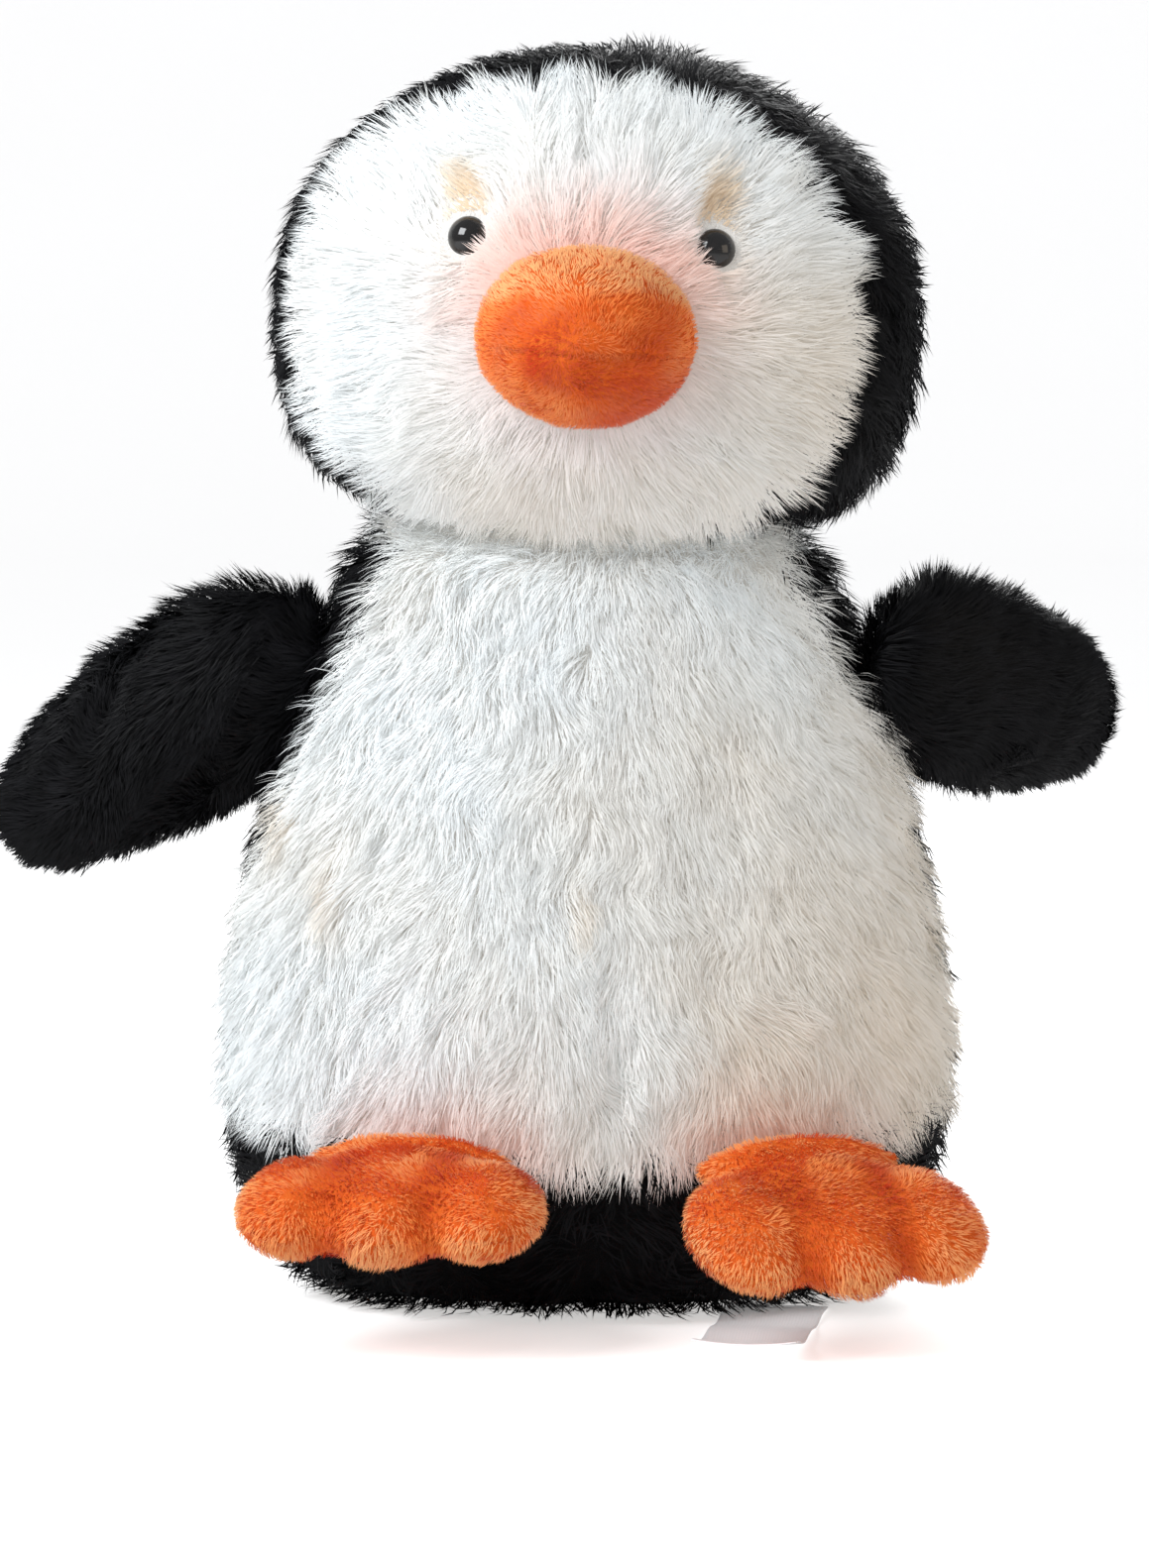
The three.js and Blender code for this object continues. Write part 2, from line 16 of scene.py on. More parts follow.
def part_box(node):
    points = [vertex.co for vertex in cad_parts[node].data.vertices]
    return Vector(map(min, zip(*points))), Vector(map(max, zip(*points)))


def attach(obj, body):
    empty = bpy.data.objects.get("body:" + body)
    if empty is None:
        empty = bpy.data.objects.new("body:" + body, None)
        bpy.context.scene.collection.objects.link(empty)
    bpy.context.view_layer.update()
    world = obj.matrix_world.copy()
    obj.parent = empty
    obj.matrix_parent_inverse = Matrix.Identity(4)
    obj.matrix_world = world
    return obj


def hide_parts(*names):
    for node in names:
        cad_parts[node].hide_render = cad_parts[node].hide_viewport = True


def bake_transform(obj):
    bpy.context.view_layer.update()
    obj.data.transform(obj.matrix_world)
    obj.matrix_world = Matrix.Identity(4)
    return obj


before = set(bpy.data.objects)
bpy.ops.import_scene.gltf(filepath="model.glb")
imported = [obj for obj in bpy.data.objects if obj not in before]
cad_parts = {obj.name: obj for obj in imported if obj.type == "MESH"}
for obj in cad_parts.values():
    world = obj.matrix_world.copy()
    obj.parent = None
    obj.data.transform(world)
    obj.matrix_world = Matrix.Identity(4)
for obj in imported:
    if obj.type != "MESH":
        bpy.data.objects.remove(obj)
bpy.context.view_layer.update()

# %% [markdown]
# ## Camera
# The toy is looked at from the front at about chest height, in a tall frame that it nearly fills. A long
# lens from a metre and a half keeps the head from swelling. The camera is placed first, because all
# later choices of detail depend on what it sees.

# %% Camera
AIM = Vector((-0.0032, -0.01, 0.1280))
CAMERA_DISTANCE = 1.5
CAMERA_ELEVATION = math.radians(5.0)
FRAME_HEIGHT = 0.384
SENSOR_WIDTH = 36

camera_data = bpy.data.cameras.new("camera")
camera_data.sensor_width = SENSOR_WIDTH
camera_data.lens = SENSOR_WIDTH * CAMERA_DISTANCE / FRAME_HEIGHT
camera_data.clip_start = 0.01
camera_data.clip_end = 20
camera = bpy.data.objects.new("camera", camera_data)
bpy.context.scene.collection.objects.link(camera)
away = Vector((0, -math.cos(CAMERA_ELEVATION), math.sin(CAMERA_ELEVATION)))
camera.location = AIM + away * CAMERA_DISTANCE
camera.rotation_mode = "QUATERNION"
camera.rotation_quaternion = (-away).to_track_quat("-Z", "Y")
bpy.context.scene.camera = camera
print("lens:", round(camera_data.lens, 1), "mm")

# %% [markdown]
# ## Light
# A soft toy has no hard edges, so it needs big soft lights that let the fibres shade one another. A wide
# cool panel stands at the upper left, a warm weak one at the right, and a pale world fills the rest.

# %% Light
WORLD_STRENGTH = 0.45
CHEST = Vector((0, 0, 0.15))

world = bpy.data.worlds.new("pale_room")
world.use_nodes = True
world.node_tree.nodes["Background"].inputs["Color"].default_value = (0.93, 0.96, 1.0, 1)
world.node_tree.nodes["Background"].inputs["Strength"].default_value = WORLD_STRENGTH
bpy.context.scene.world = world
bpy.context.scene.view_settings.view_transform = "Standard"


def panel_light(name, place, size, power, colour):
    """A square soft light that looks at the toy's chest."""
    data = bpy.data.lights.new(name, "AREA")
    data.shape = "SQUARE"
    data.size = size
    data.energy = power
    data.color = colour
    lamp = bpy.data.objects.new(name, data)
    bpy.context.scene.collection.objects.link(lamp)
    lamp.location = place
    lamp.rotation_mode = "QUATERNION"
    lamp.rotation_quaternion = (CHEST - Vector(place)).to_track_quat("-Z", "Y")


panel_light("key_light", (-0.90, -0.80, 1.00), 0.7, 17.5, (0.96, 0.98, 1.0))
panel_light("warm_light", (1.0, -0.55, 0.45), 0.6, 1.5, (1.0, 0.84, 0.66))
panel_light("rim_light", (0.3, 1.0, 0.9), 0.6, 12, (1.0, 1.0, 1.0))

# %% [markdown]
# ## Floor
# The floor is one wide pale disc whose rim curves up all round, like studio paper bent into a bowl,
# so that every side view ends in the same soft background. It is nearly plain, with only a trace of grain,
# and it glows a little for the camera alone, so that it looks white and still doesn't light the toy.

# %% Helpers for all pieces


def nothing_selected():
    """Deselects everything, since an operator acts on all that is selected."""
    if bpy.context.object and bpy.context.object.mode != "OBJECT":
        bpy.ops.object.mode_set(mode="OBJECT")
    bpy.ops.object.select_all(action="DESELECT")


def pick(obj):
    """Makes obj the only selected object, and the active one."""
    nothing_selected()
    obj.select_set(True)
    bpy.context.view_layer.objects.active = obj


def finish_modifier(obj, kind, **settings):
    """Adds one modifier, sets it and applies it."""
    pick(obj)
    modifier = obj.modifiers.new(kind.lower(), kind)
    for key, value in settings.items():
        setattr(modifier, key, value)
    bpy.ops.object.modifier_apply(modifier=modifier.name)


def points_of(obj):
    """The vertices of obj as an array of rows."""
    out = np.empty(len(obj.data.vertices) * 3, np.float32)
    obj.data.vertices.foreach_get("co", out)
    return out.reshape(-1, 3).astype(float)


def set_points(obj, points):
    """Writes the vertices of obj."""
    obj.data.vertices.foreach_set("co", np.asarray(points, np.float32).ravel())
    obj.data.update()


def place_in_mesh(obj):
    """Moves the object's place, turn and size into its mesh."""
    pick(obj)
    bpy.ops.object.transform_apply(location=True, rotation=True, scale=True)


# %% Floor
FLOOR_RADIUS = 3.6
RIM_RADIUS = 1.2
RIM_STEPS = 10
nothing_selected()
bpy.ops.mesh.primitive_circle_add(vertices=96, radius=FLOOR_RADIUS, fill_type="NGON")
floor = bpy.context.object
floor.name = "floor"
bpy.ops.object.mode_set(mode="EDIT")
bpy.ops.mesh.select_mode(type="EDGE")
bpy.ops.mesh.select_all(action="SELECT")
for step in range(RIM_STEPS):
    low_turn, high_turn = (math.radians(90 / RIM_STEPS * k) for k in (step, step + 1))
    bpy.ops.mesh.select_all(action="DESELECT")
    bpy.ops.object.mode_set(mode="OBJECT")
    highest = max(v.co.z for v in floor.data.vertices)
    widest = max(v.co.xy.length for v in floor.data.vertices)
    for edge in floor.data.edges:
        ends = [floor.data.vertices[v].co for v in edge.vertices]
        edge.select = all(e.z > highest - 1e-4 and e.xy.length > widest - 1e-4 for e in ends)
    bpy.ops.object.mode_set(mode="EDIT")
    rise = RIM_RADIUS * (math.cos(low_turn) - math.cos(high_turn))
    grow_out = (widest + RIM_RADIUS * (math.sin(high_turn) - math.sin(low_turn))) / widest
    bpy.ops.mesh.extrude_edges_move(TRANSFORM_OT_translate={"value": (0, 0, rise)})
    bpy.ops.transform.resize(value=(grow_out, grow_out, 1), center_override=(0, 0, 0))
bpy.ops.mesh.select_all(action="SELECT")
bpy.ops.mesh.normals_make_consistent(inside=True)
bpy.ops.object.mode_set(mode="OBJECT")
place_in_mesh(floor)
bpy.ops.object.shade_smooth()
print("floor:", len(floor.data.polygons), "faces")

# %% [markdown]
# ## Sewn skins of trunk and head
# The trunk and the head are wide bags of short panels. Both are nearly turned forms, so a half outline is
# spun round the upright axis and then pressed flat from front to back. The outline lies one pile depth
# inside the outer size, because the fur fills the rest.


# %% Outlines
TOP_RADIUS, FOOT_RADIUS, WIDEST_RADIUS = 59, 62, 91
WIDEST_HEIGHT, TRUNK_HEIGHT = 58, 190
LOW_PULL, HIGH_PULL = (91, 103), (76, 150)
HEAD_HALF_WIDTH, HEAD_RISE, HEAD_DROP = 82, 66, 60
TRUNK_HALF_DEPTH, HEAD_HALF_DEPTH = 59, 64
BODY_DEPTH_RATIO = TRUNK_HALF_DEPTH / WIDEST_RADIUS
HEAD_DEPTH_RATIO = HEAD_HALF_DEPTH / HEAD_HALF_WIDTH
BASE_HEIGHT = 0.003
NECK_POINT = Vector((0, 0, 0.19))
HEAD_CENTRE_Z = 0.245
HEAD_LEAN = math.radians(3)
TRUNK_INSET = 0.0038
HEAD_INSET = 0.0038


def bezier(points, steps):
    """Points along a cubic curve, ends included."""
    t = np.linspace(0, 1, steps)[:, None]
    a, b, c, d = (np.array(p, float) for p in points)
    return a * (1 - t) ** 3 + 3 * b * t * (1 - t) ** 2 + 3 * c * t * t * (1 - t) + d * t**3


def moved_inward(outline, inset):
    """A half outline, from the bottom up, moved towards the axis by its own normals."""
    along = np.gradient(outline, axis=0)
    along /= np.linalg.norm(along, axis=1)[:, None]
    inward = np.stack([-along[:, 1], along[:, 0]], 1)
    return outline + inward * inset


turn = np.radians(np.linspace(0, 90, 14))
flare = WIDEST_RADIUS - FOOT_RADIUS
trunk_foot = np.stack([FOOT_RADIUS + flare * np.sin(turn), WIDEST_HEIGHT - WIDEST_HEIGHT * np.cos(turn)], 1)
side_pulls = [(WIDEST_RADIUS, WIDEST_HEIGHT), LOW_PULL, HIGH_PULL, (TOP_RADIUS, TRUNK_HEIGHT)]
trunk_side = bezier(side_pulls, 22)[1:-1]
trunk_outline = moved_inward(np.vstack([trunk_foot, trunk_side]) / 1000, TRUNK_INSET)
trunk_outline[:, 1] = np.maximum(trunk_outline[:, 1], BASE_HEIGHT)
trunk_top = bezier([tuple(trunk_outline[-1]), (0.0535, 0.1895), (0.04, 0.190), (0.0, 0.190)], 10)[1:]
trunk_bottom = np.stack([np.linspace(0, trunk_outline[0, 0], 12)[:-1], np.full(11, BASE_HEIGHT)], 1)
trunk_outline = np.vstack([trunk_bottom, trunk_outline, trunk_top])

turn = np.radians(np.linspace(-90, 90, 49))
half_turn = np.abs(np.sin(turn))
lower = np.stack([np.cos(turn) ** (2 / 3) * HEAD_HALF_WIDTH, -HEAD_DROP * half_turn ** (2 / 3)], 1)
upper = np.stack([np.cos(turn) * HEAD_HALF_WIDTH, HEAD_RISE * half_turn], 1)
head_outline = np.where((turn < 0)[:, None], lower, upper) / 1000
head_outline = moved_inward(head_outline, HEAD_INSET)
head_outline[[0, -1], 0] = 0
head_outline = head_outline[head_outline[:, 0] >= 0]
head_outline[:, 1] += HEAD_CENTRE_Z
print("outline points:", len(trunk_outline), len(head_outline))


# %% Spin a form
def spun_form(name, outline, depth_ratio, steps=112):
    """A closed form: the half outline, spun round the upright axis and pressed flat from front to back."""
    mesh = bpy.data.meshes.new(name)
    chain = [(x, 0, z) for x, z in outline]
    mesh.from_pydata(chain, [(i, i + 1) for i in range(len(chain) - 1)], [])
    obj = bpy.data.objects.new(name, mesh)
    bpy.context.scene.collection.objects.link(obj)
    pick(obj)
    bpy.ops.object.mode_set(mode="EDIT")
    bpy.ops.mesh.select_all(action="SELECT")
    bpy.ops.mesh.spin(steps=steps, angle=2 * math.pi, center=(0, 0, 0), axis=(0, 0, 1))
    bpy.ops.mesh.select_all(action="SELECT")
    bpy.ops.mesh.remove_doubles(threshold=1e-5)
    bpy.ops.transform.resize(value=(1, depth_ratio, 1), center_override=(0, 0, 0))
    bpy.ops.mesh.normals_make_consistent(inside=False)
    bpy.ops.object.mode_set(mode="OBJECT")
    return obj


def even_cover(obj, cell):
    """Covers the form with even small cells, so that cloth hangs alike all over it."""
    finish_modifier(obj, "REMESH", mode="VOXEL", voxel_size=cell)
    finish_modifier(obj, "SMOOTH", factor=0.5, iterations=4)


# %% [markdown]
# ## Stuffing
# Wadding presses a skin outwards from inside until its seams hold it. A cloth with a little inner pressure
# does the same. Each point may only move a few millimetres, so that the skin keeps its cut.


# %% Stuff a skin
def stuff(obj, most, pressure=4.0, frames=20):
    """Swells obj as stuffed cloth, no point further than most, and adds one subdivision."""
    before = points_of(obj)
    pick(obj)
    cloth = obj.modifiers.new("cloth", "CLOTH")
    cloth.settings.quality = 5
    cloth.settings.mass = 0.2
    cloth.settings.tension_stiffness = 20
    cloth.settings.compression_stiffness = 20
    cloth.settings.bending_stiffness = 0.8
    cloth.settings.use_pressure = True
    cloth.settings.uniform_pressure_force = pressure
    cloth.settings.effector_weights.gravity = 0
    cloth.collision_settings.use_collision = False
    cloth.point_cache.frame_start = 1
    cloth.point_cache.frame_end = frames
    for number in range(1, frames + 1):
        bpy.context.scene.frame_set(number)
    bpy.ops.object.modifier_apply(modifier=cloth.name)
    bpy.context.scene.frame_set(1)
    moved = points_of(obj) - before
    far = np.linalg.norm(moved, axis=1)[:, None]
    moved *= np.minimum(1, most / np.maximum(far, 1e-9))
    set_points(obj, before + moved)
    print(obj.name, "swelled up to", round(float(far.max()) * 1000, 1), "mm before the cap")
    finish_modifier(obj, "SUBSURF", levels=1, render_levels=1)


# %% Trunk and head forms
BAG_CELL = 0.005
BAG_SWELL = 0.002
# Each dent in the belly: where it is across and up, its half sizes, and its depth.
DENTS = [
    (-0.049, 0.117, 0.006, 0.022, 0.0035),
    (0.0065, 0.064, 0.006, 0.020, 0.0040),
    (0.030, 0.100, 0.010, 0.03, 0.0015),
]
trunk_form = spun_form("trunk_form", trunk_outline, BODY_DEPTH_RATIO)
even_cover(trunk_form, BAG_CELL)
stuff(trunk_form, BAG_SWELL)
surface = points_of(trunk_form)
for x, z, wide, tall, deep in DENTS:
    hollow = np.exp(-(((surface[:, 0] - x) / wide) ** 2) - ((surface[:, 2] - z) / tall) ** 2)
    surface[:, 1] += np.where(surface[:, 1] < 0, hollow * deep, 0)
set_points(trunk_form, surface)
head_form = spun_form("head_form", head_outline, HEAD_DEPTH_RATIO)
even_cover(head_form, BAG_CELL)
stuff(head_form, BAG_SWELL)
lean = Matrix.Translation(NECK_POINT) @ Matrix.Rotation(HEAD_LEAN, 4, "Y") @ Matrix.Translation(-NECK_POINT)
print("forms:", len(trunk_form.data.polygons), len(head_form.data.polygons), "faces")


# %% [markdown]
# ## Flippers, feet and beak
# These are small stuffed bags. The model holds them already as two sewn halves and their wadding, so a copy
# of those solids is covered with even cells and drawn in or let out by a fraction of a millimetre, to leave
# room for its pile. The copy is then stuffed in the same way.


# %% Copies of the model's solids
def copied(name, nodes):
    """One object made of copies of the model's solids."""
    meshes = []
    for node in nodes:
        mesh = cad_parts[node].data.copy()
        part = bpy.data.objects.new(name, mesh)
        bpy.context.scene.collection.objects.link(part)
        part.data.transform(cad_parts[node].matrix_world)
        meshes.append(part)
    nothing_selected()
    for part in meshes:
        part.select_set(True)
    bpy.context.view_layer.objects.active = meshes[0]
    if len(meshes) > 1:
        bpy.ops.object.join()
    obj = bpy.context.object
    obj.name = name
    bpy.ops.object.mode_set(mode="EDIT")
    bpy.ops.mesh.select_all(action="SELECT")
    bpy.ops.mesh.remove_doubles(threshold=1e-5)
    bpy.ops.object.mode_set(mode="OBJECT")
    return obj


def biggest_part(obj):
    """Keeps only the outer shell of obj and drops what lies loose inside it."""
    count = len(obj.data.vertices)
    parent = list(range(count))

    def top(i):
        while parent[i] != i:
            parent[i] = parent[parent[i]]
            i = parent[i]
        return i

    for edge in obj.data.edges:
        a, b = (top(v) for v in edge.vertices)
        parent[a] = b
    owner = np.array([top(i) for i in range(count)])
    names, sizes = np.unique(owner, return_counts=True)
    keep = names[sizes.argmax()]
    pick(obj)
    bpy.ops.object.mode_set(mode="EDIT")
    bpy.ops.mesh.select_mode(type="VERT")
    bpy.ops.mesh.select_all(action="DESELECT")
    bpy.ops.object.mode_set(mode="OBJECT")
    obj.data.vertices.foreach_set("select", owner != keep)
    bpy.ops.object.mode_set(mode="EDIT")
    bpy.ops.mesh.delete(type="VERT")
    bpy.ops.object.mode_set(mode="OBJECT")


def small_form(name, nodes, cell, pile, swell):
    """The stuffed skin of a small part, one pile depth inside the model's solids."""
    obj = copied(name, nodes)
    finish_modifier(obj, "REMESH", mode="VOXEL", voxel_size=cell)
    biggest_part(obj)
    finish_modifier(obj, "SMOOTH", factor=0.5, iterations=5)
    finish_modifier(obj, "DISPLACE", direction="NORMAL", strength=-(pile + swell * 0.6), mid_level=0)
    stuff(obj, swell)
    return obj


SIDES = ("left", "right")
FLIPPER_PARTS = ("root", "front", "back", "stuffing")
# For each kind of small part: its cell, how far its skin is drawn in for the pile, and how far it may swell.
FLIPPER_CUT = (0.003, -0.0006, 0.0014)
FOOT_CUT = (0.0025, 0.0000, 0.0012)
BEAK_CUT = (0.0025, -0.0004, 0.0012)
forms = {}
for side in SIDES:
    flipper_nodes = [f"{side}_flipper_{part}" for part in FLIPPER_PARTS]
    forms[f"{side}_flipper"] = small_form(f"{side}_flipper_form", flipper_nodes, *FLIPPER_CUT)
    foot_nodes = [f"{side}_foot_{part}" for part in ("top", "sole", "stuffing")]
    forms[f"{side}_foot"] = small_form(f"{side}_foot_form", foot_nodes, *FOOT_CUT)
beak_nodes = ["beak_upper", "beak_lower", "beak_stuffing"]
forms["beak"] = small_form("beak_form", beak_nodes, *BEAK_CUT)
for name, form in forms.items():
    print(name, len(form.data.polygons), "faces")

# %% [markdown]
# ## Panels
# Each skin is sewn from panels. The trunk and the head are cut along the seam lines listed below; on the
# beak and the feet a face belongs to the panel whose solid in the model is nearest. Each panel but the
# flipper's, which is its whole closed form, then gets the thickness of its knitted backing, so that it is a
# closed piece with a real seam at its edge.


# %% Seam lines
WHITE_SIDE_Z = [0.030, 0.045, 0.055, 0.079, 0.103, 0.127, 0.142, 0.156, 0.166, 0.176, 0.192]
WHITE_RIGHT_X = [-0.084, -0.087, -0.089, -0.088, -0.082, -0.072, -0.065, -0.058, -0.054, -0.049, -0.042]
WHITE_LEFT_X = [0.082, 0.087, 0.088, 0.085, 0.080, 0.075, 0.071, 0.060, 0.055, 0.050, 0.045]
SIDE_SEAM_Y = -0.006
BASE_SEAM_Z = 0.033
FACE_MIDDLE = np.array([-0.0060, 0.2415])
FACE_HALF = np.array([0.0645, 0.0530])
FACE_POWER = 2.15
HEM_LOW, HEM_LIFT, HEM_HALF_WIDTH = 0.041, 0.009, 0.085


def face_middles(form):
    """The middle of every face of the form."""
    out = np.empty(len(form.data.polygons) * 3, np.float32)
    form.data.polygons.foreach_get("center", out)
    return out.reshape(-1, 3).astype(float)


def trunk_panels(form):
    """Which faces lie in the belly, the two back panels and the base."""
    x, y, z = face_middles(form).T
    edge = np.interp(z, WHITE_SIDE_Z, WHITE_LEFT_X), np.interp(z, WHITE_SIDE_Z, WHITE_RIGHT_X)
    hem = HEM_LOW + HEM_LIFT * (x / HEM_HALF_WIDTH) ** 2
    belly = (y < SIDE_SEAM_Y) & (z > hem) & (x < edge[0]) & (x > edge[1])
    base = ~belly & ((z < BASE_SEAM_Z) | ((y < SIDE_SEAM_Y) & (z < hem)))
    back = ~belly & ~base
    return {"belly_panel": belly, "base_panel": base, "back_panel_left": back & (x > 0),
            "back_panel_right": back & (x <= 0)}


def head_panels(form):
    """Which faces lie in the face and the two halves of the hood."""
    x, y, z = face_middles(form).T
    middle = np.abs((np.stack([x, z], 1) - FACE_MIDDLE) / FACE_HALF)
    face = (y < 0) & ((middle**FACE_POWER).sum(1) < 1)
    return {"face_panel": face, "hood_left": ~face & (x > 0), "hood_right": ~face & (x <= 0)}


# %% Cut panels
LOOK_OUT = 0.002


def nearest_solid(form, nodes):
    """For every face of form, the number of the nearest solid of nodes, seen from just outside the face."""
    trees = []
    for node in nodes:
        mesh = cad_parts[node].data
        points = [v.co.copy() for v in mesh.vertices]
        trees.append(BVHTree.FromPolygons(points, [tuple(p.vertices) for p in mesh.polygons]))
    out = []
    for face in form.data.polygons:
        place = face.center + face.normal * LOOK_OUT
        out.append(min(range(len(nodes)), key=lambda i: trees[i].find_nearest(place)[3]))
    return np.array(out)


def cut_panel(name, form, wanted, backing=0.0015):
    """A panel of the form as its own closed piece: the wanted faces, thickened inwards."""
    obj = form.copy()
    obj.data = form.data.copy()
    obj.name = obj.data.name = name
    bpy.context.scene.collection.objects.link(obj)
    pick(obj)
    bpy.ops.object.mode_set(mode="EDIT")
    bpy.ops.mesh.select_mode(type="FACE")
    bpy.ops.mesh.select_all(action="DESELECT")
    bpy.ops.object.mode_set(mode="OBJECT")
    obj.data.polygons.foreach_set("select", ~wanted)
    bpy.ops.object.mode_set(mode="EDIT")
    bpy.ops.mesh.delete(type="FACE")
    bpy.ops.object.mode_set(mode="OBJECT")
    bpy.ops.object.shade_smooth()
    obj.modifiers.new("backing", "SOLIDIFY").thickness = backing
    obj.modifiers["backing"].offset = -1
    return obj


def drop(obj):
    """Removes a helper form."""
    bpy.data.objects.remove(obj, do_unlink=True)


skins = {}
for node, faces in trunk_panels(trunk_form).items():
    skins[node] = cut_panel(f"{node}_skin", trunk_form, faces)
for node, faces in head_panels(head_form).items():
    skins[node] = cut_panel(f"{node}_skin", head_form, faces)
    skins[node].data.transform(lean)
pairs = {"beak": ["beak_upper", "beak_lower"]}
pairs.update({f"{side}_foot": [f"{side}_foot_top", f"{side}_foot_sole"] for side in SIDES})
for part, nodes in pairs.items():
    which = nearest_solid(forms[part], nodes)
    for number, node in enumerate(nodes):
        skins[node] = cut_panel(f"{node}_skin", forms[part], which == number)
print({name: len(skin.data.polygons) for name, skin in skins.items()})

# %% [markdown]
# ## Neck
# Between head and trunk sits a soft wad under its own ring of fur, white at the throat and black behind. It
# fills the crease.

# %% Neck
NECK_HALF_SIZES = (0.0505, 0.0345, 0.0165)
NECK_SEAM_Y = -0.004
nothing_selected()
bpy.ops.mesh.primitive_uv_sphere_add(segments=64, ring_count=24, radius=1, location=NECK_POINT)
neck_form = bpy.context.object
neck_form.name = "neck_form"
neck_form.scale = NECK_HALF_SIZES
place_in_mesh(neck_form)
neck_front = np.array([f.center.y < NECK_SEAM_Y for f in neck_form.data.polygons])
skins["neck_front"] = cut_panel("neck_front_skin", neck_form, neck_front)
skins["neck_back"] = cut_panel("neck_back_skin", neck_form, ~neck_front)

# %% [markdown]
# ## Colours as node groups
# Pile changes colour along each fibre and from tuft to tuft. One group turns four things that every fibre
# carries, which are how far along it a point is, the tone of its tuft, its painted light and tone, and its
# stains and painted shade, into a colour. On black pile the tone of some tufts is a painted glint. It also
# gives off painted light near the roots of pale fibres, in place of the light that wanders between them.
# Another group makes the fine ridges of the knitted backing.


# %% Node helpers
def new_group(name, sockets_in, sockets_out):
    """An empty shader node group with its sockets."""
    tree = bpy.data.node_groups.new(name, "ShaderNodeTree")
    for label, kind, value in sockets_in:
        socket = tree.interface.new_socket(name=label, in_out="INPUT", socket_type=kind)
        socket.default_value = value
    for label, kind in sockets_out:
        tree.interface.new_socket(name=label, in_out="OUTPUT", socket_type=kind)
    return tree


def add(tree, kind, **settings):
    """A node of the kind, with properties and input values set by name or number."""
    node = tree.nodes.new(kind)
    for key, value in settings.items():
        if key.startswith("in_"):
            key = key[3:]
            key = int(key) if key.isdigit() else key.replace("_", " ")
            node.inputs[key].default_value = value
        else:
            setattr(node, key, value)
    return node


def mixed(tree, factor, low, high, blend="MIX"):
    """A colour mix. Each of factor, low and high is a value or an output to link."""
    node = tree.nodes.new("ShaderNodeMix")
    node.data_type = "RGBA"
    node.blend_type = blend
    for socket, value in ((node.inputs[0], factor), (node.inputs[6], low), (node.inputs[7], high)):
        if isinstance(value, bpy.types.NodeSocket):
            tree.links.new(value, socket)
        else:
            socket.default_value = value
    return node.outputs[2]


FLOAT, COLOUR = "NodeSocketFloat", "NodeSocketColor"
NEAR_WHITE = (0.9, 0.9, 0.9, 1)

pile_group = new_group(
    "pile_colour",
    [("Root", COLOUR, NEAR_WHITE), ("Tip", COLOUR, NEAR_WHITE), ("Stray Tone And Glint", COLOUR, NEAR_WHITE),
     ("Painted Light And Tone", COLOUR, NEAR_WHITE), ("Stain And Shade", COLOUR, NEAR_WHITE), ("Patch Scale", FLOAT, 60.0)],
    [("Colour", COLOUR), ("Roughness", FLOAT), ("Painted Root Light", COLOUR)],
)


def build_pile_group(tree):
    """Root to tip colour, tuft tone with painted glints on black, stains and painted shade, painted
    highlights and warm bounce, and painted light given off near the roots.
    """
    inputs = tree.nodes.new("NodeGroupInput")
    outputs = tree.nodes.new("NodeGroupOutput")
    link = tree.links.new
    carried = ("along", "lock", "painted_light_and_tone", "stain")
    along, lock, painted_light_and_tone, stain = (add(tree, "ShaderNodeAttribute", attribute_name=key) for key in carried)
    place = tree.nodes.new("ShaderNodeTexCoord")
    patches = add(tree, "ShaderNodeTexNoise", in_Detail=3.0)
    link(place.outputs["Object"], patches.inputs["Vector"])
    link(inputs.outputs["Patch Scale"], patches.inputs["Scale"])
    colour = mixed(tree, along.outputs["Fac"], inputs.outputs["Root"], inputs.outputs["Tip"])
    wander = add(tree, "ShaderNodeMath", operation="MULTIPLY")
    link(lock.outputs["Fac"], wander.inputs[0])
    link(patches.outputs["Fac"], wander.inputs[1])
    colour = mixed(tree, wander.outputs[0], colour, inputs.outputs["Stray Tone And Glint"])
    colour = mixed(tree, stain.outputs["Fac"], colour, inputs.outputs["Stain And Shade"])
    colour = mixed(tree, painted_light_and_tone.outputs["Fac"], colour, inputs.outputs["Painted Light And Tone"])
    link(colour, outputs.inputs["Colour"])
    # Painted light given off near the roots: the fibre's colour, full at the root and down to 0.12 at the
    # tip.
    depth = mixed(tree, along.outputs["Fac"], (1, 1, 1, 1), (0.12, 0.12, 0.12, 1))
    link(mixed(tree, 1.0, colour, depth, "MULTIPLY"), outputs.inputs["Painted Root Light"])
    gloss = add(tree, "ShaderNodeMapRange", in_To_Min=0.42, in_To_Max=0.7)
    link(wander.outputs[0], gloss.inputs["Value"])
    link(gloss.outputs[0], outputs.inputs["Roughness"])


build_pile_group(pile_group)

ridge_group = new_group("fine_ridges", [("Scale", FLOAT, 2500.0), ("Depth", FLOAT, 0.5)], [("Height", FLOAT)])


def build_ridge_group(tree):
    """Fine uneven ridges, as of knitted backing."""
    inputs = tree.nodes.new("NodeGroupInput")
    outputs = tree.nodes.new("NodeGroupOutput")
    link = tree.links.new
    place = tree.nodes.new("ShaderNodeTexCoord")
    fine = add(tree, "ShaderNodeTexNoise", in_Detail=4.0)
    link(place.outputs["Object"], fine.inputs["Vector"])
    link(inputs.outputs["Scale"], fine.inputs["Scale"])
    height = add(tree, "ShaderNodeMath", operation="MULTIPLY")
    link(fine.outputs["Fac"], height.inputs[0])
    link(inputs.outputs["Depth"], height.inputs[1])
    link(height.outputs[0], outputs.inputs["Height"])


build_ridge_group(ridge_group)


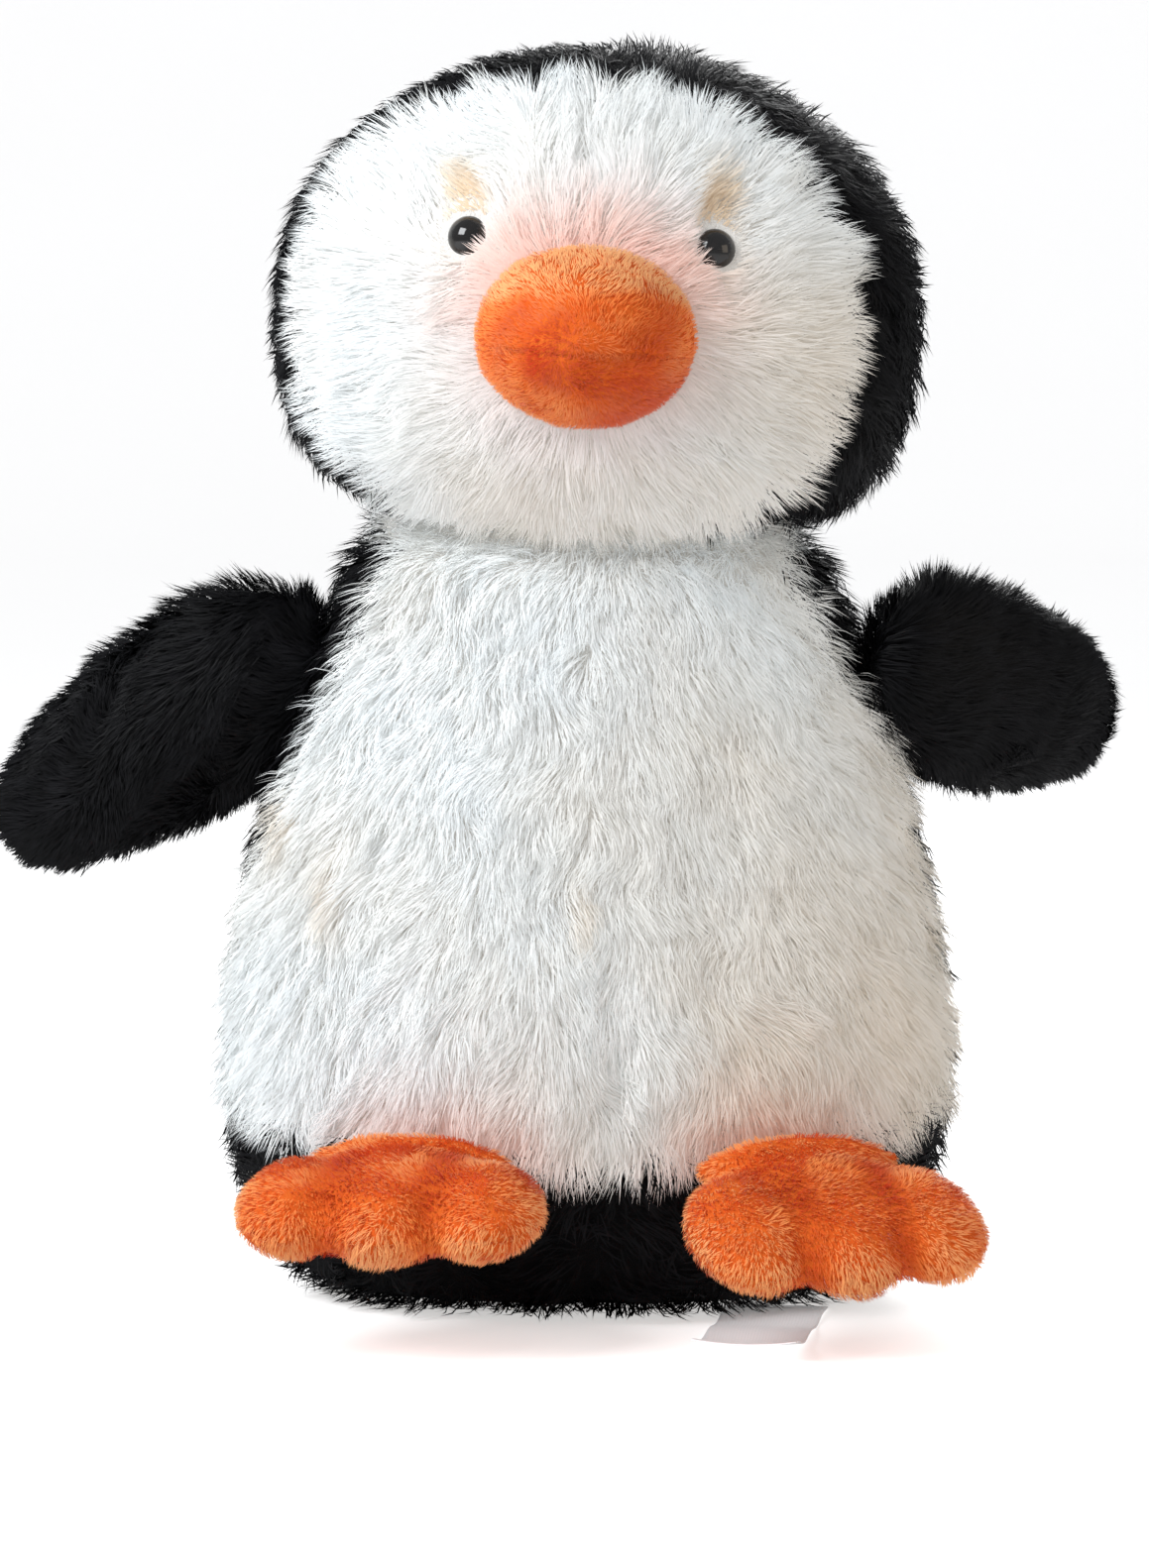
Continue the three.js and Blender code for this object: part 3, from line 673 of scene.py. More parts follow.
# %% [markdown]
# ## Materials
# Each finish is one material: white, black and orange pile, the backing under each, the moulded eye, the
# washer behind it, and the satin of the label, which gives off a little painted light. The pile materials
# share the group above and differ only in their colours, their gloss and the painted light they give off
# near the roots.


# %% Pile and backing materials
def new_material(name):
    """A material with its Principled shader, and the tree to build in."""
    material = bpy.data.materials.new(name)
    material.use_nodes = True
    tree = material.node_tree
    return material, tree, tree.nodes["Principled BSDF"]


def bump_from(tree, shader, height, distance, strength=1.0):
    """Feeds a height into the shader's normal."""
    bump = add(tree, "ShaderNodeBump", in_Strength=strength, in_Distance=distance)
    tree.links.new(height, bump.inputs["Height"])
    tree.links.new(bump.outputs[0], shader.inputs["Normal"])


def pile_material(name, root, tip, stray, painted_light_and_tone, stain, patch_scale, sheen, specular, painted_root_light=0.0):
    """A finish for fibres."""
    material, tree, shader = new_material(name)
    group = add(tree, "ShaderNodeGroup", node_tree=pile_group)
    for label, colour in (("Root", root), ("Tip", tip), ("Stray Tone And Glint", stray), ("Painted Light And Tone", painted_light_and_tone), ("Stain And Shade", stain)):
        group.inputs[label].default_value = (*colour, 1)
    group.inputs["Patch Scale"].default_value = patch_scale
    tree.links.new(group.outputs["Colour"], shader.inputs["Base Color"])
    tree.links.new(group.outputs["Roughness"], shader.inputs["Roughness"])
    if painted_root_light:  # painted light near the roots, in place of the light that wanders between pale fibres and comes out deep in the pile
        tree.links.new(group.outputs["Painted Root Light"], shader.inputs["Emission Color"])
        shader.inputs["Emission Strength"].default_value = painted_root_light
    shader.inputs["Sheen Weight"].default_value = sheen
    shader.inputs["Sheen Roughness"].default_value = 0.5
    shader.inputs["Specular IOR Level"].default_value = specular
    return material


def backing_material(name, dark, light, scale):
    """A finish for the knitted backing under the pile."""
    material, tree, shader = new_material(name)
    place = tree.nodes.new("ShaderNodeTexCoord")
    patches = add(tree, "ShaderNodeTexNoise", in_Scale=scale, in_Detail=4.0)
    tree.links.new(place.outputs["Object"], patches.inputs["Vector"])
    colour = mixed(tree, patches.outputs["Fac"], (*dark, 1), (*light, 1))
    tree.links.new(colour, shader.inputs["Base Color"])
    ridges = add(tree, "ShaderNodeGroup", node_tree=ridge_group, in_Scale=1800.0, in_Depth=1.0)
    bump_from(tree, shader, ridges.outputs["Height"], 0.0006)
    shader.inputs["Roughness"].default_value = 0.9
    shader.inputs["Specular IOR Level"].default_value = 0.15
    return material


# White pile: its colour for painted light is the warm bounce near the orange parts; its colour for stains and
# shade serves the tan spots and streaks and the painted creamy shade.
white_pile = pile_material(
    "white_pile", (0.88, 0.90, 0.90), (0.92, 0.965, 0.985), (0.93, 0.93, 0.90), (0.98, 0.50, 0.36),
    (0.78, 0.60, 0.40), 45.0, 0.12, 0.25, 0.19)
# The black pile's colour for stray tone and glints, lighter than its tips, paints glints on some tufts.
black_pile = pile_material(
    "black_pile", (0.0004, 0.0004, 0.0005), (0.0016, 0.0016, 0.0020), (0.018, 0.018, 0.021),
    (0.01, 0.005, 0.004), (0.01, 0.01, 0.01), 80.0, 0.0, 0.10)
# Orange pile: its colour for painted light paints the highlight on the beak's crown and the toe ends, and its
# colour for stains and shade the painted shade on the beak's front and in the toe creases.
orange_pile = pile_material(
    "orange_pile", (0.95, 0.15, 0.016), (1.0, 0.36, 0.075), (0.97, 0.22, 0.03), (0.98, 0.48, 0.19),
    (0.62, 0.045, 0.003), 120.0, 0.2, 0.15, 0.08)
# The white backing is a little darker and creamier than the pile's roots: painted shade deep under the
# fibres.
white_backing = backing_material("white_backing", (0.88, 0.85, 0.80), (0.95, 0.93, 0.90), 120)
black_backing = backing_material("black_backing", (0.001, 0.001, 0.0012), (0.003, 0.003, 0.0035), 120)
orange_backing = backing_material("orange_backing", (0.72, 0.08, 0.008), (0.90, 0.20, 0.03), 160)

# %% Floor material
floor_paper, floor_tree, floor_shader = new_material("floor_paper")
floor_place = floor_tree.nodes.new("ShaderNodeTexCoord")
floor_grain = add(floor_tree, "ShaderNodeTexNoise", in_Scale=3.0, in_Detail=2.0)
floor_tree.links.new(floor_place.outputs["Object"], floor_grain.inputs["Vector"])
floor_colour = mixed(floor_tree, floor_grain.outputs["Fac"], (0.90, 0.90, 0.90, 1), (0.94, 0.94, 0.94, 1))
floor_tree.links.new(floor_colour, floor_shader.inputs["Base Color"])
floor_rays = floor_tree.nodes.new("ShaderNodeLightPath")
floor_tree.links.new(floor_rays.outputs["Is Camera Ray"], floor_shader.inputs["Emission Strength"])
floor_shader.inputs["Emission Color"].default_value = (0.57, 0.56, 0.55, 1)
floor_shader.inputs["Roughness"].default_value = 0.95
floor_shader.inputs["Specular IOR Level"].default_value = 0.1
floor.data.materials.append(floor_paper)

# %% [markdown]
# ## Dress the skins
# Every panel gets the backing of its finish, and the model's own solids that it stands for are hidden. It
# rides on the body that carries it in the model, but the panels of the flippers and the neck are tied to
# no body. Fibre pieces are tied to their bodies the same way later.

# %% Bodies, slots and what each piece stands for
WHITE, BLACK, ORANGE = "white_plush", "black_plush", "orange_plush"
BACKINGS = {WHITE: white_backing, BLACK: black_backing, ORANGE: orange_backing}
PILES = {WHITE: white_pile, BLACK: black_pile, ORANGE: orange_pile}
SHOULDERS = {"left": Vector((0.084673, 0, 0.154)), "right": Vector((-0.084673, 0, 0.154))}
# For each foot: the middle of its hinge, the way across the foot, and the way back along it.
FEET = {
    "left": (
        Vector((0.049249, -0.058875, 0.041)),
        Vector((0.939693, 0.34202, 0)),
        Vector((-0.309976, 0.851651, 0.422618)),
    ),
    "right": (
        Vector((-0.042322, -0.061153, 0.041)),
        Vector((0.990268, -0.139173, 0)),
        Vector((0.135606, 0.964888, 0.224951)),
    ),
}
# The way from each flipper's shoulder to its tip.
BLADES = {
    "left": Vector((0.630978, 0.75197, -0.190809)),
    "right": Vector((-0.800789, 0.214571, -0.559193)),
}


def carry(piece, body):
    """Ties a piece to one body; a piece of a flipper or the neck only has its place moved into its mesh."""
    if body.endswith("_flipper"):
        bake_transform(piece)
    elif body == "neck":
        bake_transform(piece)
    else:
        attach(piece, body)


def dress(piece, body, slot, fill, *stands_for):
    """Gives a stuffed panel the backing of its slot, applies its thickness, hands it to carry for its body,
    and hides the solids it stands for.
    """
    piece.data.materials.clear()
    piece.data.materials.append(BACKINGS[slot])
    if piece.modifiers:
        pick(piece)
        bpy.ops.object.modifier_apply(modifier=piece.modifiers[0].name)
    carry(piece, body)
    if stands_for:
        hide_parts(*stands_for)


dress(skins["belly_panel"], "trunk", WHITE, 0.75, "belly_panel", "body_stuffing")
for node in ("back_panel_left", "back_panel_right", "base_panel"):
    dress(skins[node], "trunk", BLACK, 0.75, node)
dress(skins["face_panel"], "head", WHITE, 0.85, "face_panel", "head_stuffing")
for node in ("hood_left", "hood_right"):
    dress(skins[node], "head", BLACK, 0.85, node)
dress(skins["neck_front"], "neck", WHITE, 0.6, "neck_wad_lower")
dress(skins["neck_back"], "neck", BLACK, 0.6, "neck_wad_upper")
dress(skins["beak_upper"], "head", ORANGE, 0.9, "beak_upper", "beak_stuffing")
dress(skins["beak_lower"], "head", ORANGE, 0.9, "beak_lower")
for side in SIDES:
    dress(skins[f"{side}_foot_top"], f"{side}_foot", ORANGE, 0.7, f"{side}_foot_top", f"{side}_foot_stuffing")
    dress(skins[f"{side}_foot_sole"], f"{side}_foot", ORANGE, 0.7, f"{side}_foot_sole")
    whole = np.ones(len(forms[f"{side}_flipper"].data.polygons), bool)
    skins[f"{side}_flipper"] = cut_panel(f"{side}_flipper_skin", forms[f"{side}_flipper"], whole)
    skins[f"{side}_flipper"].modifiers.clear()
    names = [f"{side}_flipper_{part}" for part in FLIPPER_PARTS]
    dress(skins[f"{side}_flipper"], f"{side}_flipper", BLACK, 0.7, *names)

# %% [markdown]
# ## Eyes
# The eyes are moulded domes on a ribbed shank that a washer holds behind the skin. A dome this glossy lives
# from what it mirrors, so it gets a fine round mesh and a clear coat.

# %% Eyes
eye_plastic, eye_tree, eye_shader = new_material("eye_plastic")
eye_place = eye_tree.nodes.new("ShaderNodeTexCoord")
eye_scuffs = add(eye_tree, "ShaderNodeTexNoise", in_Scale=900.0, in_Detail=5.0)
eye_tree.links.new(eye_place.outputs["Object"], eye_scuffs.inputs["Vector"])
eye_colour = mixed(eye_tree, eye_scuffs.outputs["Fac"], (0.002, 0.002, 0.002, 1), (0.012, 0.009, 0.008, 1))
eye_tree.links.new(eye_colour, eye_shader.inputs["Base Color"])
eye_polish = add(eye_tree, "ShaderNodeMapRange", in_To_Min=0.04, in_To_Max=0.14)
eye_tree.links.new(eye_scuffs.outputs["Fac"], eye_polish.inputs["Value"])
eye_tree.links.new(eye_polish.outputs[0], eye_shader.inputs["Roughness"])
eye_shader.inputs["Coat Weight"].default_value = 0.25
eye_shader.inputs["Coat Roughness"].default_value = 0.03

EYE_RADIUS = 0.0052
EYE_DOME = 0.0046
EYE_BACK_SHARE = 0.3
EYE_SEAT = 0.0042
EYE_LIFT = 0.0006


def eye_facts(side):
    """The middle of the eye's back and the direction it looks, from the model's own solid."""
    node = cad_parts[f"{side}_eye"]
    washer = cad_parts[f"{side}_eye_washer"]
    middle = np.mean([v.co[:] for v in node.data.vertices], axis=0)
    back = np.mean([v.co[:] for v in washer.data.vertices], axis=0)
    look = Vector(middle - back).normalized()
    reach = max((Vector(v.co) - Vector(middle)).dot(look) for v in node.data.vertices)
    front = Vector(middle) + look * reach
    return front - look * EYE_SEAT, look


eyes = {}
for side in SIDES:
    base, look = eye_facts(side)
    nothing_selected()
    bpy.ops.mesh.primitive_uv_sphere_add(segments=48, ring_count=32, radius=EYE_RADIUS)
    eye = bpy.context.object
    eye.name = eye.data.name = f"{side}_eye_dome"
    heights = points_of(eye)
    up = heights[:, 2]
    heights[:, 2] = np.where(up > 0, up * EYE_DOME / EYE_RADIUS, up * EYE_BACK_SHARE)
    set_points(eye, heights)
    eye.rotation_mode = "QUATERNION"
    eye.rotation_quaternion = look.to_track_quat("Z", "Y")
    eye.location = base + look * EYE_LIFT
    place_in_mesh(eye)
    bpy.ops.object.shade_smooth()
    eye.data.materials.clear()
    eye.data.materials.append(eye_plastic)
    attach(eye, "head")
    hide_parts(f"{side}_eye")
    eyes[side] = (base, look)
    print(side, "eye at", [round(v, 4) for v in base], "looking", [round(v, 2) for v in look])

washer_plastic, washer_tree, washer_shader = new_material("washer_plastic")
washer_place = washer_tree.nodes.new("ShaderNodeTexCoord")
washer_marks = add(washer_tree, "ShaderNodeTexNoise", in_Scale=400.0)
washer_tree.links.new(washer_place.outputs["Object"], washer_marks.inputs["Vector"])
washer_colour = mixed(washer_tree, washer_marks.outputs["Fac"], (0.70, 0.70, 0.68, 1), (0.8, 0.8, 0.78, 1))
washer_tree.links.new(washer_colour, washer_shader.inputs["Base Color"])
washer_shader.inputs["Roughness"].default_value = 0.45
for side in SIDES:
    washer_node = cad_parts[f"{side}_eye_washer"]
    washer_node.data.materials.clear()
    washer_node.data.materials.append(washer_plastic)

# %% [markdown]
# ## Fur
# Plush pile is thousands of fibres that lean one way, wander a little and cling together in tufts. Blender's
# hair would not reach the exported model, so every fibre here is a real narrow ribbon of two or three short
# lengths, built with array maths. Roots are scattered evenly over a panel. Each fibre rises from the skin,
# bends over to the brushed direction, and its tip is drawn towards the middle fibre of its tuft.


# %% Smooth wandering
def wander_field(seed, wavelength, waves=7):
    """A smooth random vector field: sums of sine waves in random directions."""
    rng = np.random.default_rng(seed)
    ways = rng.normal(size=(waves, 3))
    scale = (2 * math.pi / wavelength / np.linalg.norm(ways, axis=1))[:, None]
    ways *= scale * rng.uniform(0.6, 1.6, (waves, 1))
    phase = rng.uniform(0, 2 * math.pi, (waves, 3))
    gain = rng.normal(size=(waves, 3))

    def field(points):
        swing = points @ ways.T
        return (np.sin(swing[:, :, None] + phase[None]) * gain[None]).sum(1) / math.sqrt(waves)

    return field


def unit(vectors):
    """Rows scaled to length one."""
    return vectors / np.maximum(np.linalg.norm(vectors, axis=1), 1e-12)[:, None]


def scattered(skin, count, rng):
    """Evenly random root points on a panel's outer face, with smooth normals."""
    mesh = skin.data
    mesh.calc_loop_triangles()
    corners = np.empty(len(mesh.loop_triangles) * 3, np.int32)
    mesh.loop_triangles.foreach_get("vertices", corners)
    corners = corners.reshape(-1, 3)
    points = points_of(skin)
    normals = np.empty(len(points) * 3, np.float32)
    mesh.vertices.foreach_get("normal", normals)
    normals = normals.reshape(-1, 3).astype(float)
    a, b, c = (points[corners[:, i]] for i in range(3))
    area = np.linalg.norm(np.cross(b - a, c - a), axis=1) / 2
    chosen = rng.choice(len(corners), size=count, p=area / area.sum())
    u, v = rng.random(count), rng.random(count)
    over = u + v > 1
    u[over], v[over] = 1 - u[over], 1 - v[over]
    weights = np.stack([1 - u - v, u, v], 1)
    picked = corners[chosen]
    roots = (points[picked] * weights[:, :, None]).sum(1)
    return roots, unit((normals[picked] * weights[:, :, None]).sum(1))


# %% Tufts
def nearest_of(centres, points):
    """For every point, the number of its nearest centre."""
    tree = kdtree.KDTree(len(centres))
    for i, centre in enumerate(centres):
        tree.insert(centre, i)
    tree.balance()
    return np.array([tree.find(point)[1] for point in points])


def distance_to(obj, points):
    """How far every point is from the nearest vertex of obj."""
    tree = kdtree.KDTree(len(obj.data.vertices))
    for i, vertex in enumerate(obj.data.vertices):
        tree.insert(vertex.co, i)
    tree.balance()
    return np.array([tree.find(point)[2] for point in points])


# %% Ribbons
TAPER = (0.85, 1.0, 0.72)
MOST_TWIST = 0.9


def ribbons(name, lines, width, outward, rng, attributes, soften):
    """A mesh of tapered ribbons, one along each row of centre points."""
    count, stations, _ = lines.shape
    lengths = stations - 1
    tangent = np.gradient(lines, axis=1)
    tangent /= np.maximum(np.linalg.norm(tangent, axis=2), 1e-9)[:, :, None]
    across = np.cross(tangent, outward[:, None, :])
    across /= np.maximum(np.linalg.norm(across, axis=2), 1e-9)[:, :, None]
    other = np.cross(across, tangent)
    twist = rng.uniform(-MOST_TWIST, MOST_TWIST, count)[:, None, None]
    across = across * np.cos(twist) + other * np.sin(twist)
    facing = np.cross(across, tangent)
    facing *= np.sign((facing * outward[:, None, :]).sum(2))[:, :, None]
    taper = np.array(TAPER)[:lengths] / 2
    half = width[:, None, None] * taper[None, :, None]
    pairs = np.stack([lines[:, :-1] - across[:, :-1] * half, lines[:, :-1] + across[:, :-1] * half], 2)
    points = np.concatenate([pairs.reshape(count, -1, 3), lines[:, -1:]], 1)
    each = points.shape[1]
    start = (np.arange(count) * each)[:, None]
    quads = [start + np.array([[2 * s, 2 * s + 1, 2 * s + 3, 2 * s + 2]]) for s in range(lengths - 1)]
    quads = np.stack(quads, 1).reshape(-1, 4)
    tips = start + np.array([[2 * lengths - 2, 2 * lengths - 1, 2 * lengths]])
    loops = np.concatenate([quads.ravel(), tips.ravel()]).astype(np.int32)
    begins = np.concatenate([np.arange(len(quads)) * 4, len(quads) * 4 + np.arange(len(tips)) * 3])
    mesh = bpy.data.meshes.new(name)
    mesh.vertices.add(count * each)
    mesh.vertices.foreach_set("co", points.astype(np.float32).ravel())
    mesh.loops.add(len(loops))
    mesh.loops.foreach_set("vertex_index", loops)
    mesh.polygons.add(len(begins))
    mesh.polygons.foreach_set("loop_start", begins.astype(np.int32))
    mesh.update()
    mesh.validate()
    along = np.append(np.repeat(np.arange(lengths) / lengths, 2), 1.0)
    values = {"along": np.tile(along, count)}
    for key, per_fibre in attributes.items():
        values[key] = np.repeat(per_fibre, each)
    for key, value in values.items():
        mesh.attributes.new(key, "FLOAT", "POINT").data.foreach_set("value", value.astype(np.float32))
    mesh.polygons.foreach_set("use_smooth", np.ones(len(begins), bool))
    leaning = np.concatenate([np.repeat(facing[:, :-1], 2, axis=1), facing[:, -1:]], 1)
    normals = outward[:, None, :] * soften + leaning * (1 - soften)
    normals = unit(normals.reshape(-1, 3))
    mesh.normals_split_custom_set_from_vertices(normals.astype(np.float32))
    obj = bpy.data.objects.new(name, mesh)
    bpy.context.scene.collection.objects.link(obj)
    triangles = len(quads) * 2 + len(tips)
    print(name, count, "fibres,", triangles, "triangles")
    return obj


# %% Grow fur on a panel
FLOOR_CLEARANCE = 0.0004
CURL_WAVE = 0.022
LENGTH_WAVE = 0.012
STRAY_SPREAD = 0.16
TUFT_TONE_SHARE = 0.6


def grow(name, skin, body, slot, seed, count, length, width, rise, comb, tuft_share=0.035, cling=0.36,
         wander=0.42, lengths=3, keep=None, tint=None, trim=None, soften=0.7):
    """Fur on a skin.

    comb gives the brushed direction at each root, rise the lift at a fibre's start and end, keep the roots
    that stay, tint their painted light and tone and their stains and painted shade, and trim how much of
    its length each fibre keeps.
    """
    rng = np.random.default_rng(seed)
    roots, normals = scattered(skin, count, rng)
    if keep is not None:
        kept = keep(roots)
        roots, normals = roots[kept], normals[kept]
    count = len(roots)
    flow = comb(roots, normals)
    flow = flow + wander_field(seed + 1, CURL_WAVE)(roots) * wander
    flow = flow - normals * (flow * normals).sum(1)[:, None]
    flow = unit(flow)
    uneven = 1 + 0.12 * wander_field(seed + 2, LENGTH_WAVE)(roots)[:, 0]
    reach = length * rng.uniform(0.72, 1.08, count) * uneven
    if trim is not None:
        reach = reach * trim(roots)
    stray = rng.normal(size=(count, 3)) * STRAY_SPREAD
    first = unit(normals * rise[0] + flow * (1 - rise[0]) + stray * 0.6)
    last = unit(normals * rise[1] + flow * (1 - rise[1]) + stray)
    t = np.linspace(0, 1, lengths + 1)[None, :, None]
    bend = first[:, None] * (t - t * t / 2) + last[:, None] * t * t / 2
    lines = roots[:, None] + reach[:, None, None] * bend
    heads = rng.choice(count, size=max(2, int(count * tuft_share)), replace=False)
    leader = heads[nearest_of(roots[heads], roots)]
    gather = cling * rng.uniform(0.5, 1.15, count)[:, None, None] * t**1.6
    lines = lines + (lines[leader] - lines) * gather
    lines[:, :, 2] = np.maximum(lines[:, :, 2], FLOOR_CLEARANCE + 0.0004 * rng.random((count, 1)))
    tuft_tone = rng.random(count)[leader] * TUFT_TONE_SHARE + rng.random(count) * (1 - TUFT_TONE_SHARE)
    facts = {"lock": tuft_tone}
    facts.update(tint(roots) if tint else {"painted_light_and_tone": np.zeros(count), "stain": np.zeros(count)})
    widths = width * rng.uniform(0.75, 1.2, count)
    obj = ribbons(name, lines, widths, normals, rng, facts, soften)
    obj.data.materials.append(PILES[slot])
    carry(obj, body)


# %% [markdown]
# ## How each fur lies
# White fur on the face is brushed outwards from the beak, and on the belly downwards. The hood and the back
# are brushed back and down, and the flippers towards their tips. White fur near the beak and the feet gets
# a painted warm bounce of their orange, on the lower left cheek, the chin and the low left belly it has
# painted shade in a creamy tone, and above each eye it is parted and has a tan streak. The beak and the
# feet get painted highlights and painted shade in their nap.


# %% Brushed directions
beak_low, beak_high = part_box("beak_upper")
BEAK_ROOT_Y, BEAK_HEIGHT = -0.06, 0.238
BEAK_MIDDLE = np.array([(beak_low.x + beak_high.x) / 2, BEAK_ROOT_Y, BEAK_HEIGHT])


def from_beak(points, normals):
    """Outwards from the beak, and a little down."""
    away_from = points - BEAK_MIDDLE
    away_from[:, 1] *= 0.3
    return unit(away_from) + np.array([0, 0.15, -0.12])


def down_belly(points, normals):
    """Down, and a little out to the sides."""
    return np.stack([points[:, 0] * 4.5, points[:, 1] * 0.0, np.full(len(points), -1.0)], 1)


def back_and_down(points, normals):
    """Over the crown to the back, then down."""
    return np.stack([points[:, 0] * 2.0, np.full(len(points), 0.55), np.full(len(points), -0.8)], 1)


def down_back(points, normals):
    """Straight down."""
    return np.stack([points[:, 0] * 2.0, points[:, 1] * 0.0, np.full(len(points), -1.0)], 1)


def under_base(points, normals):
    """Outwards from the middle of the base."""
    return np.stack([points[:, 0] * 8, points[:, 1] * 8, np.full(len(points), -0.25)], 1)


# %% Tints of the white fur
def soft_step(low, high, value):
    """0 below low, 1 above high, and smooth between."""
    t = np.clip((value - low) / (high - low), 0, 1)
    return t * t * (3 - 2 * t)


def eye_parts(points):
    """Distance from the nearer eye across and up the face, in metres."""
    across, up = np.full(len(points), 9.0), np.full(len(points), 9.0)
    for base, look in eyes.values():
        side_way = look.cross(Vector((0, 0, 1))).normalized()
        up_way = side_way.cross(look).normalized()
        x = (points - np.array(base)) @ np.array(side_way)
        z = (points - np.array(base)) @ np.array(up_way)
        nearer = np.hypot(x, z) < np.hypot(across, up)
        across, up = np.where(nearer, x, across), np.where(nearer, z, up)
    return across, up


EYE_CLEARANCE = 0.0060


def clear_of_eyes(points):
    """Roots that leave the domes free."""
    across, up = eye_parts(points)
    return np.hypot(across, up) > EYE_CLEARANCE


def shorter_by_eyes(points):
    """Fur is cropped close above and round the eyes, so that it doesn't hang over them."""
    across, up = eye_parts(points)
    parted = np.exp(-((across / 0.0085) ** 2) - ((up - 0.006) / 0.012) ** 2)
    ring = soft_step(0.0135, 0.0075, np.hypot(across, up + 0.001))
    return (1 - 0.62 * parted) * (1 - 0.5 * ring * np.where(up < -0.003, 0.6, 1.0))


GLOW_REACH = 0.012


def painted_warm_bounce(points, *orange):
    """Painted warm bounce light that white fur gets from orange parts near it."""
    near = np.minimum.reduce([distance_to(part, points) for part in orange])
    return np.exp(-((near / GLOW_REACH) ** 2))


def face_tint(points):
    """Painted warm bounce round the beak, a tan streak above each eye, and painted shade in a creamy tone on
    the lower left cheek and at the chin.
    """
    across, up = eye_parts(points)
    tan = np.exp(-((across / 0.0052) ** 4) - ((up - 0.0065) / 0.011) ** 4)
    patches = wander_field(71, 0.05)(points)[:, 0]
    # Painted shade in a creamy tone on the lower left cheek and at the chin.
    painted_cream_shade = 0.30 * soft_step(0.0, 0.06, points[:, 0]) * soft_step(0.27, 0.24, points[:, 2])
    chin = soft_step(0.222, 0.205, points[:, 2]) * soft_step(-0.05, -0.01, points[:, 0])
    painted_cream_shade = np.maximum(painted_cream_shade, 0.26 * chin)
    # The tan streaks, random patches and the painted creamy shade go out together as stains and shade.
    tan = np.clip(tan * 0.85 + 0.05 * patches + 0.03 + painted_cream_shade, 0, 1)
    # The painted warm bounce from the beak is weaker below it.
    above = np.clip((points[:, 2] - 0.232) / 0.02, 0.25, 1)
    return {"painted_light_and_tone": painted_warm_bounce(points, forms["beak"]) * 0.6 * above, "stain": tan}


SPOTS = ((-0.072, 0.122), (-0.061, 0.105), (-0.002, 0.103))


def belly_tint(points):
    """Painted warm bounce above the feet, painted shade in a creamy tone low on the left side, and a few
    faint spots.
    """
    # Painted warm bounce from the feet.
    red = painted_warm_bounce(points, forms["left_foot"], forms["right_foot"])
    patches = wander_field(72, 0.05)(points)[:, 0]
    # Painted shade in a creamy tone, low on the left side; the patches and spots are the fur's own tone.
    painted_cream_shade = soft_step(-0.03, 0.06, points[:, 0]) * soft_step(0.19, 0.08, points[:, 2])
    stain = 0.04 + 0.05 * patches + 0.34 * painted_cream_shade
    for x, z in SPOTS:
        across, up = (points[:, 0] - x) / 0.003, (points[:, 2] - z) / 0.008
        stain = stain + 0.35 * np.exp(-(across**2) - up**2)
    return {"painted_light_and_tone": red * 0.85, "stain": np.clip(stain, 0, 1)}


def beak_tint(points):
    """A painted highlight on the crown where the nap turns over, and painted shade on the front and the lower
    right.
    """
    patches = wander_field(73, 0.018)(points)
    height = points[:, 2] - BEAK_MIDDLE[2] + 0.14 * (points[:, 0] - BEAK_MIDDLE[0]) ** 2 / 0.0275
    forward = -(points[:, 1] - BEAK_MIDDLE[1]) / 0.034
    # Painted highlight on the crown of the beak.
    light = soft_step(0.009, 0.0125, height + 0.0012 * patches[:, 2]) * soft_step(1.15, 0.55, forward)
    # Painted shade on the front below the crown, with random patches.
    deep = soft_step(0.25, 0.8, forward) * soft_step(0.014, 0.004, height) * (0.75 + 0.3 * patches[:, 1])
    # More painted shade low on the right.
    shade_low_right = soft_step(0.004, -0.012, height) * soft_step(-0.012, 0.010, points[:, 0] - BEAK_MIDDLE[0])
    deep = np.maximum(deep, shade_low_right)
    # The painted highlight sits on a faint random tone.
    return {"painted_light_and_tone": np.clip(light * 0.85 + 0.08 + 0.12 * patches[:, 0], 0, 1), "stain": np.clip(deep, 0, 1)}


TOE_GAP = 0.0115
TOE_LINE = 0.018
TOE_ENDS = (0.040, 0.050)


def foot_tint(side):
    """Painted shade in the creases between the toes and across the middle of the foot, and a painted
    highlight on the brushed toe ends and side edges.
    """
    hinge, across_way, back_way = (np.array(v) for v in FEET[side])

    def tint(points):
        patches = wander_field(74, 0.016)(points)
        across = (points - hinge) @ across_way
        along = -(points - hinge) @ back_way
        sideways = np.abs(across)
        # Painted shade in the creases between the toes.
        crease = np.exp(-(((sideways - TOE_GAP) / 0.0042) ** 2))
        crease = crease * soft_step(TOE_LINE - 0.010, TOE_LINE, along)
        # Painted highlight on the toe ends and the side edges.
        toe_end = soft_step(*TOE_ENDS, along + 0.0015 * patches[:, 0])
        edge = np.maximum(toe_end, soft_step(0.030, 0.038, sideways))
        # Painted shade across the middle of the foot.
        hollow = np.exp(-(((along - 0.022) / 0.012) ** 2)) * 0.3
        # Lighter: a base tone and random patches with the painted highlight, less in the creases; deeper:
        # painted shade with random patches.
        light = np.clip(0.30 + 0.55 * edge + 0.14 * patches[:, 1] - crease, 0, 1)
        deep = np.clip(0.75 * crease * (1 - 0.5 * edge) + hollow + 0.16 * patches[:, 2], 0, 1)
        return {"painted_light_and_tone": light, "stain": deep}

    return tint


